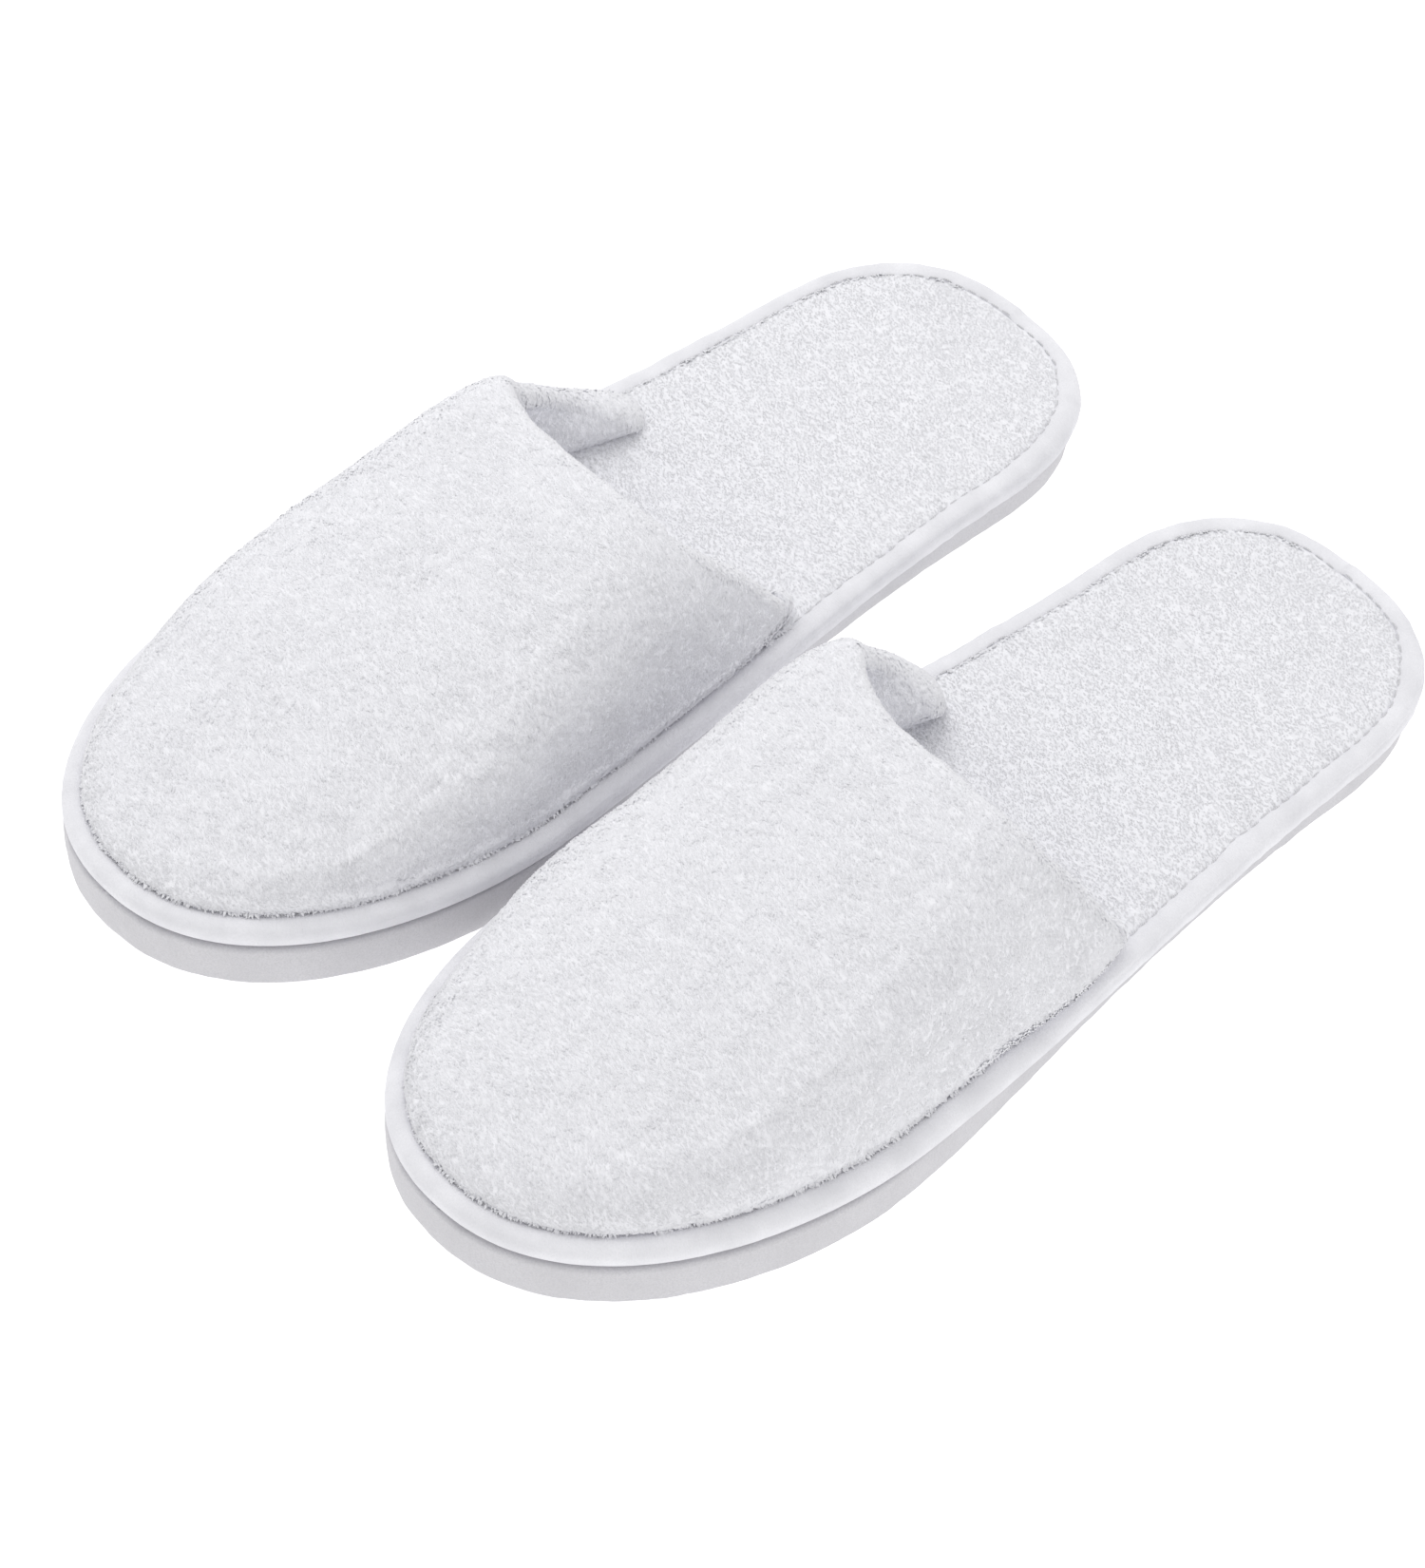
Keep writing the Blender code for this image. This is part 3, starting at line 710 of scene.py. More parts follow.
def make_sole(slipper):
    wall = sole_rings()
    ragged = layered(wall, SOLE_SEED, (0.15 * MM, 4.0 * MM), (0.06 * MM, 1.5 * MM))
    wall += OUTWARD[None] * ragged[..., None]
    for ring, share in enumerate((1.0, 0.8, 0.5)):
        carve_tread(wall[ring], share)
    bottom = ladder(wall[0], SOLE_COLUMNS)
    bottom[1:-1, 1:-1, 2] = sole_bottom(bottom[1:-1, 1:-1, 1])
    carve_tread(bottom[1:-1, 1:-1], 1.0)
    points, faces = wall_and_caps(wall, bottom, ladder(wall[-1], SOLE_COLUMNS // 4))
    finish = moulded_foam()
    add_piece(slipper, "moulded_sole", points, faces, finish, "eva_foam", "outsole", bends=True, welded=True)


def make_core_layer(slipper, layer, heights, finish, slot):
    """Flat sheet of the insole core, with rounded edges."""
    low, high = heights
    middle = 0.5 * (low + high)
    soft = 0.5 * (high - low)
    loops = []
    for angle in np.linspace(-0.5 * math.pi, 0.5 * math.pi, 7):
        plan = inset_loop(CORE_INSET + soft * (1.0 - math.cos(angle)))
        loops.append(stand(plan, middle + soft * math.sin(angle)))
    caps = [ladder(loop, CORE_COLUMNS) for loop in (loops[0], loops[-1])]
    points, faces = wall_and_caps(np.stack(loops), *caps)
    add_piece(slipper, f"{layer}_sheet", points, faces, finish, slot, layer, bends=True, welded=True)


# ---- binding


TAPE_LIP = 5.6 * MM  # how far the tape's upper leg reaches in
TAPE_TURN_UNDER = 10.0 * MM
TAPE_ROLL_DEPTH = 3.7 * MM  # how far in the round of the tape reaches
TAPE_SQUARENESS = 0.86
TAPE_TAUT = 0.25  # share of the slackness left in front of TAUT_FROM
TAUT_FROM = 150 * MM
TAUT_FADE = 60 * MM
# creases round the tape: place on its section (0 to 1), spread, width of a feature, bias, seed
TAPE_FOLDS = ((0.60, 0.035, 19 * MM, 0.2, 34), (0.36, 0.03, 27 * MM, 0.0, 35))
TAPE_WRINKLES = (0.20, 0.27, 0.34, 0.42)
WRINKLE_SEED = 44
STITCH_POINTS = 7
STITCH_SIDES = 8


def slack(y):
    """How loose the binding lies: taut round the toe, creased along the waist and heel."""
    return TAPE_TAUT + (1.0 - TAPE_TAUT) * smoothstep((TAUT_FROM - y) / TAUT_FADE)


def tape_section():
    """Outer face of the binding, (inset, height): turned under the edge, round it and back in on top."""
    section = [(TAPE_TURN_UNDER, TAPE_BOTTOM), (7.5 * MM, TAPE_BOTTOM), (5.2 * MM, TAPE_BOTTOM)]
    middle = 0.5 * (TAPE_BOTTOM + TAPE_TOP)
    radius = 0.5 * (TAPE_TOP - TAPE_BOTTOM)
    for angle in np.linspace(-0.5 * math.pi, 0.5 * math.pi, 35):
        reach = abs(math.cos(angle)) ** TAPE_SQUARENESS
        rise = math.copysign(abs(math.sin(angle)) ** TAPE_SQUARENESS, math.sin(angle))
        section.append((TAPE_ROLL_DEPTH * (1.0 - reach), middle + radius * rise))
    section += [(TAPE_LIP - 1.0 * MM, TAPE_TOP - 0.15 * MM), (TAPE_LIP - 0.3 * MM, TAPE_TOP - 0.45 * MM)]
    section += [(TAPE_LIP, TAPE_TOP - 0.85 * MM), (TAPE_LIP - 0.2 * MM, TAPE_TOP - 1.3 * MM)]
    return np.array(section + [(TAPE_LIP - 1.0 * MM, TAPE_TOP - 1.4 * MM)])


def tape_creases(share):
    """Depth of the creases along one row of the tape, share being its place on the section."""
    depth = 0.0
    for middle, spread, size, bias, seed in TAPE_FOLDS:
        strength = np.clip(along_line(TRAVELLED, size, seed) + bias, 0.0, 1.0)
        depth = depth + hump(share, middle, spread) * strength
    for k, middle in enumerate(TAPE_WRINKLES):
        drift = middle + 0.025 * along_line(TRAVELLED, 30 * MM, WRINKLE_SEED + k)
        strength = 0.35 + 0.45 * along_line(TRAVELLED, 14 * MM, WRINKLE_SEED + 10 + k)
        depth = depth + hump(share, drift, 0.014) * np.clip(strength, 0.0, 1.0)
    return depth


def tape_sheet():
    """Grid of the binding's outer face: one row for each point of its section."""
    section = tape_section()
    loose = slack(OUTLINE[:, 1])
    wave = along_line(TRAVELLED, 11 * MM, 31) + 0.5 * along_line(TRAVELLED, 4.5 * MM, 32)
    ripple = along_line(TRAVELLED + 0.5, 8 * MM, 36)
    plump = 1.0 + 0.035 * along_line(TRAVELLED, 25 * MM, 33)
    rows = []
    for k, (inset, height) in enumerate(section):
        share = k / (len(section) - 1)
        top_leg = smoothstep((share - 0.55) / 0.3)
        pull = 0.45 * MM * tape_creases(share) * loose
        plan = inset_loop(inset + top_leg * 0.55 * MM * wave * loose + pull)
        lift = height * (plump if share > 0.3 else 1.0) + top_leg * (0.2 * MM * ripple * loose - 0.25 * pull)
        rows.append(stand(plan, lift))
    sheet = np.stack(rows)
    puckers = layered(sheet, 37, (0.16 * MM, (2.2 * MM, 2.2 * MM, 5.0 * MM)), (0.14 * MM, 6.0 * MM))
    return sheet + OUTWARD[None] * (puckers * loose[None])[..., None]


def make_binding(slipper):
    sheet = tape_sheet()
    across = travel(tape_section())
    uvs = np.stack(np.broadcast_arrays(TRAVELLED[None, :], across[:, None]), axis=-1).reshape(-1, 2)
    faces = [grid_quads(*sheet.shape[:2], closed=True)]
    add_piece(
        slipper, "binding", sheet, faces, binding_tape(), "tape", "binding_tape",
        bends=True, welded=True, uvs=uvs,
    )
    return sheet


def stitch_tube(path, radius):
    """Points of a thread of round section along a path, closed to a point at both ends."""
    tangent = unit(np.gradient(path, axis=0))
    sideways = unit(np.cross(tangent, [0.0, 0.0, 1.0]))
    up = np.cross(sideways, tangent)
    swell = np.sin(np.linspace(0.0, math.pi, len(path))) ** 0.35
    angles = np.linspace(0.0, 2.0 * math.pi, STITCH_SIDES, endpoint=False)[:, None]
    spokes = np.cos(angles) * sideways[:, None] + np.sin(angles) * up[:, None]
    return path[:, None] + (swell * radius)[:, None, None] * spokes


def stitch_run(slipper, name, path, length, gap, radius, sink, replaced, bends=False):
    """Separate stitches along a path of points, each dipping into the cloth at its ends."""
    travelled = travel(path)
    tubes, faces, first = [], [], 0
    for k in range(int(travelled[-1] // (length + gap))):
        run = at_distances(path, travelled, k * (length + gap) + np.linspace(0.0, length, STITCH_POINTS))
        run[:, 2] -= sink * (1.0 - np.sin(np.linspace(0.0, math.pi, STITCH_POINTS)) ** 0.5)
        tubes.append(stitch_tube(run, radius).reshape(-1, 3))
        faces.append(grid_quads(STITCH_POINTS, STITCH_SIDES, first, closed=True))
        first += STITCH_POINTS * STITCH_SIDES
    points = np.vstack(tubes)
    add_piece(slipper, name, points, faces, shade_painted_thread(), "thread", replaced, bends=bends, welded=True)


def make_binding_stitches(slipper, sheet):
    """Lockstitch along the binding's upper leg, drawn down into it."""
    lip_row = len(sheet) - 4
    path = np.vstack([sheet[lip_row], sheet[lip_row][:1]])
    path[:, 2] += 0.05 * MM
    sizes = (2.9 * MM, 0.7 * MM, 0.24 * MM, 0.2 * MM)
    stitch_run(slipper, "binding_stitches", path, *sizes, "binding_thread", bends=True)


# ---- cloth simulation


PUFF_FRAMES = 20
PUFF_LIMIT = 1.2 * MM  # no point moves further than this
PUFF_SETTINGS = {
    "quality": 5, "mass": 0.3, "tension_stiffness": 12.0, "compression_stiffness": 12.0,
    "bending_stiffness": 0.8, "vertex_group_mass": "sewn", "shrink_min": -0.01,
    "use_pressure": True, "uniform_pressure_force": 1.5,
}


def puff(outer, inner, held):
    """Blow up a closed pad made of two grid sheets and return how far the outer sheet moved.

    held marks the points that are sewn down.
    """
    points, (top, low, sides) = pad_between(outer, inner)
    mesh = bpy.data.meshes.new("pad")
    mesh.from_pydata(points.tolist(), [], np.vstack([top[:, ::-1], low, sides]).tolist())
    pad = bpy.data.objects.new("pad", mesh)
    bpy.context.scene.collection.objects.link(pad)
    sewn = pad.vertex_groups.new(name="sewn")
    sewn.add([int(i) for i in np.flatnonzero(np.tile(held.ravel(), 2))], 1.0, "REPLACE")
    cloth = pad.modifiers.new("padding", "CLOTH")
    for name, value in PUFF_SETTINGS.items():
        setattr(cloth.settings, name, value)
    cloth.settings.effector_weights.gravity = 0.0
    cloth.point_cache.frame_end = PUFF_FRAMES
    scene = bpy.context.scene
    for step in range(1, PUFF_FRAMES + 1):
        scene.frame_set(step)
    settled = pad.evaluated_get(bpy.context.evaluated_depsgraph_get())
    result = np.zeros(points.size, np.float32)
    settled.data.vertices.foreach_get("co", result)
    moved = result[:outer.size].reshape(outer.shape) - outer
    scene.frame_set(1)
    bpy.data.objects.remove(pad)
    bpy.data.meshes.remove(mesh)
    length = np.maximum(np.linalg.norm(moved, axis=-1, keepdims=True), 1e-9)
    return moved * PUFF_LIMIT * (1.0 - np.exp(-length / PUFF_LIMIT)) / length


def refine(coarse, row_places, column_places):
    """Values of a coarse grid at fractional rows and columns."""
    row = np.clip(np.floor(row_places).astype(int), 0, coarse.shape[0] - 2)
    column = np.clip(np.floor(column_places).astype(int), 0, coarse.shape[1] - 2)
    s = (row_places - row)[..., None]
    t = (column_places - column)[..., None]
    s = 0.5 * (smoothstep(s) + s)
    t = 0.5 * (smoothstep(t) + t)
    top = coarse[row, column] * (1.0 - t) + coarse[row, column + 1] * t
    low = coarse[row + 1, column] * (1.0 - t) + coarse[row + 1, column + 1] * t
    return top * (1.0 - s) + low * s


# ---- footbed


FOOTBED_INSET = 4.6 * MM
FOOTBED_SHOULDER = 4.5 * MM  # width of the footbed's rounded shoulder
FOOTBED_COLUMNS = 110
FOOTBED_RIM = 5.9 * MM  # inset at which the footbed's pile ends, just inside the binding
FOOTBED_PILE_REACH = 30 * MM  # how far in under the vamp the footbed's pile is grown
FAR_SIDE = {"right": 1.0, "left": -1.0}  # the side on which a wing of the vamp is pulled out


def footbed_sheet(seed):
    plan = inset_loop(FOOTBED_INSET)
    sheet = ladder(np.column_stack([plan, np.zeros(len(plan))]), FOOTBED_COLUMNS)
    distance = edge_distance(sheet)
    share = np.clip((distance - FOOTBED_INSET) / FOOTBED_SHOULDER, 0.0, 1.0)
    height = FOOTBED_EDGE + (FOOTBED_TOP - FOOTBED_EDGE) * np.sqrt(1.0 - (1.0 - share) ** 2)
    crown = smoothstep((distance - FOOTBED_INSET) / (16 * MM))
    height += crown * layered(sheet, seed, (0.35 * MM, 21 * MM), (0.12 * MM, 8 * MM))
    sheet[..., 2] = sole_top(sheet[..., 1]) + height
    sheet[..., 2] += cloth_relief(sheet, seed + 2) * smoothstep((distance - FOOTBED_INSET) / (2 * MM))
    return sheet


def make_footbed(slipper):
    seed = PILE_SEED + (1 if slipper == "left" else 0)
    sheet = footbed_sheet(seed + 40)
    faces = [grid_quads(*sheet.shape[:2])]
    ground, tufts = cloth_finish("plush_cloth"), pile_finish("footbed_pile", FOOTBED_TONE)
    add_piece(
        slipper, "footbed_plush", sheet, faces, ground, "plush", "footbed_cover",
        bends=True, welded=True,
    )
    bare = sheet[1:-1]
    open_rows = bare[:, 0, 1] < THROAT_CENTRE + FOOTBED_PILE_REACH
    lay = np.array([SIDES[slipper], 0.15, 0.0])
    grow_pile(
        slipper, "footbed_pile", bare[open_rows], sheet_normals(bare)[open_rows], lay, tufts, seed + 50,
        density=3.0e6, length=0.72 * MM, width=0.56 * MM, pits=FOOTBED_PITS, rim=FOOTBED_RIM, bends=True,
    )
    far = np.flatnonzero((OUTWARD[:, 0] * FAR_SIDE[slipper] > 0.2) & (OUTLINE[:, 1] < THROAT_CENTRE))
    path = stand(inset_loop(FOOTBED_RIM)[far], TAPE_TOP - 0.5 * MM)
    order = np.argsort(path[:, 1])
    grow_fringe(slipper, "footbed_fringe", path[order], OUTWARD[far][order], tufts, seed + 60, bends=True)


# ---- vamp


VAMP_INSET = 6.0 * MM
VAMP_HEIGHT_THROAT = 48.0 * MM
VAMP_HEIGHT_TOE = 12.0 * MM
VAMP_ARCH_POWER = 2.8
VAMP_TOE_START = 0.67
VAMP_THICKNESS = 7.2 * MM  # outer plush, foam and lining together
# y where the throat edge meets the binding: (outer side, inner side)
WING_END = {"right": (91.0 * MM, 105.0 * MM), "left": (117.0 * MM, 98.0 * MM)}
WING_SWEEP_POWER = {"right": (4.0, 3.0), "left": (3.0, 4.0)}
WING_ROUNDING = 5.0 * MM  # how far the edge turns forward again at the foot of each wing
WING_TURN = 0.76  # where on the arch that turn starts, 1 being the foot
# share of the thickness left at the foot of each wing, and the part of the arch that thins
WING_THINNESS = {"right": (0.42, 0.85), "left": (0.85, 0.78)}
WING_THIN_SPAN = 0.35
# how far the foot of each wing swells in over the footbed: (outer side, inner side)
WING_LOBE = {"right": (8.5 * MM, 0.3 * MM), "left": (0.3 * MM, 8.0 * MM)}
WING_LOBE_HEIGHT = {"right": 4.0 * MM, "left": 10.5 * MM}  # where the lobe is fullest, up from the foot
WING_LOBE_SPREAD = 9.0 * MM
WING_LOBE_REACH = 32.0 * MM  # how far forward along the lining the lobe fades out
# the far wing is pulled out, back and up
FLARE = {"right": (0.0, 4.0 * MM, 3.5 * MM), "left": (3.0 * MM, 8.0 * MM, 5.5 * MM)}
FLARE_PLACE = 0.78  # where on the arch the flare is fullest
FLARE_SPREAD = 0.30
FLARE_FOOT = {"right": 1.0, "left": 0.45}  # share of the arch's height below which the flare dies away
FLARE_FADE = 55.0 * MM
# the other side swells out over the binding, most beside the throat
BELLY = {"right": 2.5 * MM, "left": 5.0 * MM}
BELLY_RISE = 5.0 * MM  # height above the foot at which it is fullest
BELLY_TOP = 8.0 * MM
BELLY_FALL = 20.0 * MM
BELLY_START = 124.0 * MM  # y from which it fades towards the toe
BELLY_FADE = 75.0 * MM
HEM_WIDTH = 9.0 * MM
HEM_ROWS = 10
ROLL_ROWS = 16
EDGE_SOFTENING = 2.0 * MM  # how much the outer face falls away towards the throat edge
EDGE_WIDTH = 15.0 * MM
EDGE_TILT = math.atan2(2.0 * EDGE_SOFTENING, EDGE_WIDTH)
TUCK = (0.5 * MM, 1.6 * MM)  # how far the foot is tucked in and down behind the binding
LIP_OVER = 1.0 * MM  # how far the foot swells out over the binding
LIP_HEIGHT = 2.6 * MM
LIP_SPREAD = 1.9 * MM
HELD_ROWS = 6.0  # rows from the foot over which its waviness fades in
FOOT_REACH = 0.9 * MM  # how far outside the vamp's foot its fringe is rooted
# numbers of columns, of rows as far as the toe's rounding and of rows round the toe
OUTER_GRID = (190, 66, 104)
INSIDE_GRID = (100, 24, 36)
PAD_GRID = (31, 12, 20)
LINING_PILE_ROWS = 30
LINING_MARGIN = 3.0 * MM
PADDING_DEPTHS = (0.40, 0.62)  # shares of the vamp's thickness
LINING_DEPTH = 0.97
HEM_STITCH_SPAN = math.radians(66.0)

VAMP_LOOP = inset_loop(VAMP_INSET)
TOE_START = VAMP_TOE_START * LENGTH
VAMP_TIP = VAMP_LOOP[:, 1].max()
ALONG_TO_METRES = TOE_START - THROAT_CENTRE


def foot_edges(y):
    """Middle and half width of the vamp's foot at y."""
    outer_x, inner_x = [np.interp(y, side[:, 1], side[:, 0]) for side in loop_sides(VAMP_LOOP)]
    return 0.5 * (outer_x + inner_x), 0.5 * (outer_x - inner_x)


def arch_angle(across):
    """-1 and 1 at the feet of the arch, 0 at its top, and even in between."""
    return np.arcsin(np.clip(across, -1.0, 1.0)) / (0.5 * math.pi)


def arch_height(radius):
    """Height of the arch, as a share of its crown, at a share of the way out to its foot."""
    return np.clip(1.0 - radius ** VAMP_ARCH_POWER, 0.0, 1.0) ** (1.0 / VAMP_ARCH_POWER)


def toe_plan(across, along):
    """x, y and share of the way out to the foot, over the rounded toe."""
    lift = np.sin(0.5 * math.pi * np.clip(along - 1.0, 0.0, 1.0))
    disc_x = across * np.sqrt(1.0 - 0.5 * lift ** 2)
    disc_y = lift * np.sqrt(1.0 - 0.5 * across ** 2)
    centre_x, semi_x = foot_edges(TOE_START)
    semi_y = VAMP_TIP - TOE_START
    toe_loop = VAMP_LOOP[VAMP_LOOP[:, 1] > TOE_START - 20 * MM] - [centre_x, TOE_START]
    rim_angle = np.arctan2(toe_loop[:, 0], toe_loop[:, 1])
    order = np.argsort(rim_angle)
    rim_radius = np.hypot(toe_loop[:, 0], toe_loop[:, 1])[order]
    heading = np.arctan2(disc_x * semi_x, disc_y * semi_y + 1e-12)
    ellipse = 1.0 / np.hypot(np.sin(heading) / semi_x, np.cos(heading) / semi_y)
    stretch = np.interp(heading, rim_angle[order], rim_radius) / ellipse
    x = centre_x + disc_x * semi_x * stretch
    return x, TOE_START + disc_y * semi_y * stretch, np.hypot(disc_x, disc_y)


def vamp_surface(across, along, slipper):
    """Outer face of the vamp, (x, y, z) in the slipper frame.

    across runs from -1 at the inner foot of the arch to 1 at its outer foot. along runs from 0 at
    the throat edge to 1 where the toe's rounding starts, and to 2 at the toe's foot.
    """
    angle = np.abs(arch_angle(across))
    sweep = angle ** by_side(WING_SWEEP_POWER[slipper], across)
    turn = smoothstep((angle - WING_TURN) / (1.0 - WING_TURN))
    end = by_side(WING_END[slipper], across)
    throat = THROAT_CENTRE - (THROAT_CENTRE - end) * sweep + WING_ROUNDING * turn
    y = throat + (TOE_START - throat) * np.clip(along, 0.0, 1.0)
    centre_x, half = foot_edges(y)
    straight = (centre_x + half * across, y, np.abs(across))
    x, y, radius = [np.where(along > 1.0, *pair) for pair in zip(toe_plan(across, along), straight)]

    progress = np.clip((y - THROAT_CENTRE) / (VAMP_TIP - THROAT_CENTRE), 0.0, 1.0)
    crown = VAMP_HEIGHT_THROAT + (VAMP_HEIGHT_TOE - VAMP_HEIGHT_THROAT) * progress
    arch = arch_height(radius)
    height = crown * arch
    points = np.stack([x, y, sole_top(y) + VAMP_FOOT + height], axis=-1)

    far_side = FAR_SIDE[slipper]
    far = across * far_side
    flare = hump(far, FLARE_PLACE, FLARE_SPREAD) * smoothstep(arch / FLARE_FOOT[slipper])
    flare = flare * (1.0 - smoothstep((y - THROAT_CENTRE) / FLARE_FADE))
    outwards, heelwards, upwards = FLARE[slipper]
    points = points + flare[..., None] * np.array([outwards * far_side, -heelwards, upwards])
    belly = smoothstep(height / BELLY_RISE) * (1.0 - smoothstep((height - BELLY_TOP) / BELLY_FALL))
    belly = belly * (1.0 - smoothstep((y - BELLY_START) / BELLY_FADE)) * (far < 0.0)
    points[..., 0] -= far_side * BELLY[slipper] * belly
    return points


def arch_steps(count, width=0.5 * BALL_WIDTH, height=VAMP_HEIGHT_THROAT):
    """across values from -1 to 1 that are evenly spaced along the arch."""
    dense = np.sin(np.linspace(-0.5 * math.pi, 0.5 * math.pi, 4001))
    rise = arch_height(np.abs(dense))
    travelled = travel(np.stack([dense * width, rise * height], axis=1))
    return np.interp(np.linspace(0.0, travelled[-1], count), travelled, dense)


def throat_start(across, slipper, radius):
    """along value at which the roll of the throat edge begins, for each column."""
    step = 0.02
    edge = vamp_surface(across, np.zeros_like(across), slipper)
    ahead = vamp_surface(across, np.full_like(across, step), slipper)
    speed = (ahead - edge) / step
    tangent = unit(np.gradient(edge, axis=0))
    square = speed - tangent * np.sum(speed * tangent, axis=-1, keepdims=True)
    return radius / np.linalg.norm(square, axis=-1)


def vamp_sheet(across, start, grid, slipper):
    """Grid of the vamp's outer face from the start of the roll to the toe's foot."""
    _, straight_rows, toe_rows = grid
    share = np.linspace(0.0, 1.0, straight_rows + 1)[:, None]
    straight = start[None, :] + (1.0 - start[None, :]) * share
    lifts = arch_steps(2 * toe_rows + 1, VAMP_TIP - TOE_START, 2.0 * VAMP_HEIGHT_TOE)[toe_rows + 1:]
    toe = np.broadcast_to(1.0 + arch_angle(lifts)[:, None], (toe_rows, len(across)))
    along = np.vstack([straight, toe])
    return vamp_surface(np.broadcast_to(across, along.shape), along, slipper), along


def height_above_foot(points):
    return points[..., 2] - sole_top(points[..., 1]) - VAMP_FOOT


def outward_normals(sheet):
    """Normals of the vamp's outer face, level along its foot."""
    normals = sheet_normals(sheet)
    for edge in ((slice(None), 0), (slice(None), -1), (-1, slice(None))):
        normals[edge] = unit(normals[edge] * LEVEL)
    return normals


def simulated_swell(slipper, across, along):
    """How far the padding pushes out each point of the vamp's outer face."""
    coarse_across = arch_steps(PAD_GRID[0])
    sheet, coarse_along = vamp_sheet(coarse_across, np.zeros_like(coarse_across), PAD_GRID, slipper)
    held = np.zeros(sheet.shape[:2], bool)
    held[:, [0, -1]] = True
    held[-1, :] = True
    moved = puff(sheet, sheet - outward_normals(sheet) * VAMP_THICKNESS, held)
    rows = np.interp(along, coarse_along[:, 0], np.arange(len(coarse_along)))
    columns = np.interp(across, coarse_across, np.arange(len(coarse_across)))
    return refine(moved, rows, np.broadcast_to(columns, along.shape))


def wing_lobe(slipper, across, edge):
    """How far each point of the throat edge swells in."""
    share = hump(height_above_foot(edge), WING_LOBE_HEIGHT[slipper], WING_LOBE_SPREAD)
    return by_side(WING_LOBE[slipper], across) * share


def throat_edge(slipper, across, start, radius, sheet, normal, swell):
    """Rows of the throat edge: its hem under the lining, from front to back, then its roll."""
    back = unit(np.cross(unit(np.gradient(sheet[0], axis=0)), normal))
    lobe = wing_lobe(slipper, across, sheet[0])[:, None]
    level = unit(normal * LEVEL)
    radius = radius[:, None]
    rows = []
    for share in np.linspace(1.0, 0.0, HEM_ROWS)[:-1]:
        outer_face = vamp_surface(across, start + HEM_WIDTH / ALONG_TO_METRES * share, slipper) + swell
        softened = EDGE_SOFTENING * (1.0 - share * HEM_WIDTH / EDGE_WIDTH) ** 2
        fade = 1.0 - smoothstep(share * HEM_WIDTH / WING_LOBE_REACH)
        rows.append(outer_face - normal * (2.0 * radius + softened + 0.15 * MM * share) - level * lobe * fade)
    centre = sheet[0] - (normal * math.cos(EDGE_TILT) + back * math.sin(EDGE_TILT)) * radius
    for angle in np.linspace(math.pi, EDGE_TILT, ROLL_ROWS)[:-1]:
        spoke = normal * math.cos(angle) + back * math.sin(angle)
        swell_in = lobe * (0.5 - 0.5 * math.cos(angle)) ** 1.5
        rows.append(centre + spoke * radius - level * swell_in + back * 0.35 * lobe * math.sin(angle))
    return np.stack(rows)


def tucked_foot(skin, toe_normals):
    """The skin with its foot continued down behind the binding, round the toe and on both sides."""
    tuck_in, tuck_down = TUCK
    toe = skin[-1:] - toe_normals * tuck_in
    toe[..., 2] -= tuck_down
    skin = np.concatenate([skin, toe])
    edges = skin[:, [0, -1]] + np.array([[tuck_in, 0.0, -tuck_down], [-tuck_in, 0.0, -tuck_down]])
    return np.concatenate([edges[:, :1], skin, edges[:, 1:]], axis=1)


def vamp_skin(slipper, across, seed):
    """Grid of the vamp's plush, its normals, and the place and radius of the throat edge's roll."""
    thinness = by_side(WING_THINNESS[slipper], across)
    thinness += (1.0 - thinness) * smoothstep((1.0 - np.abs(arch_angle(across))) / WING_THIN_SPAN)
    uneven = 1.0 + 0.10 * along_line(across * BALL_WIDTH, 13 * MM, seed)
    radius = 0.5 * VAMP_THICKNESS * thinness * uneven
    start = throat_start(across, slipper, radius)
    sheet, along = vamp_sheet(across, start, OUTER_GRID, slipper)
    outward = outward_normals(sheet)
    swell = simulated_swell(slipper, across, along)
    from_edge = (along - start[None, :]) * ALONG_TO_METRES
    soft = EDGE_SOFTENING * (1.0 - np.clip(from_edge / EDGE_WIDTH, 0.0, 1.0)) ** 2
    sheet = sheet + swell - outward * soft[..., None]

    edge = throat_edge(slipper, across, start, radius, sheet, outward[0], swell[0])
    skin = tucked_foot(np.concatenate([edge, sheet]), outward[-1:])
    normals = sheet_normals(skin)
    rows, columns = np.indices(skin.shape[:2])
    over = LIP_OVER * hump(height_above_foot(skin), LIP_HEIGHT, LIP_SPREAD) * (rows >= len(edge))
    skin = skin + unit(normals * LEVEL) * over[..., None]
    from_foot = np.minimum(np.minimum(columns, skin.shape[1] - 1 - columns), skin.shape[0] - 1 - rows)
    broad = layered(skin, seed + 1, (0.45 * MM, 24 * MM), (0.2 * MM, 9 * MM))
    broad = broad * smoothstep((from_foot - 1) / HELD_ROWS)
    relief = cloth_relief(skin, seed + 3) * np.minimum(from_foot, 1)
    return skin + normals * (broad + relief)[..., None], normals, start, radius


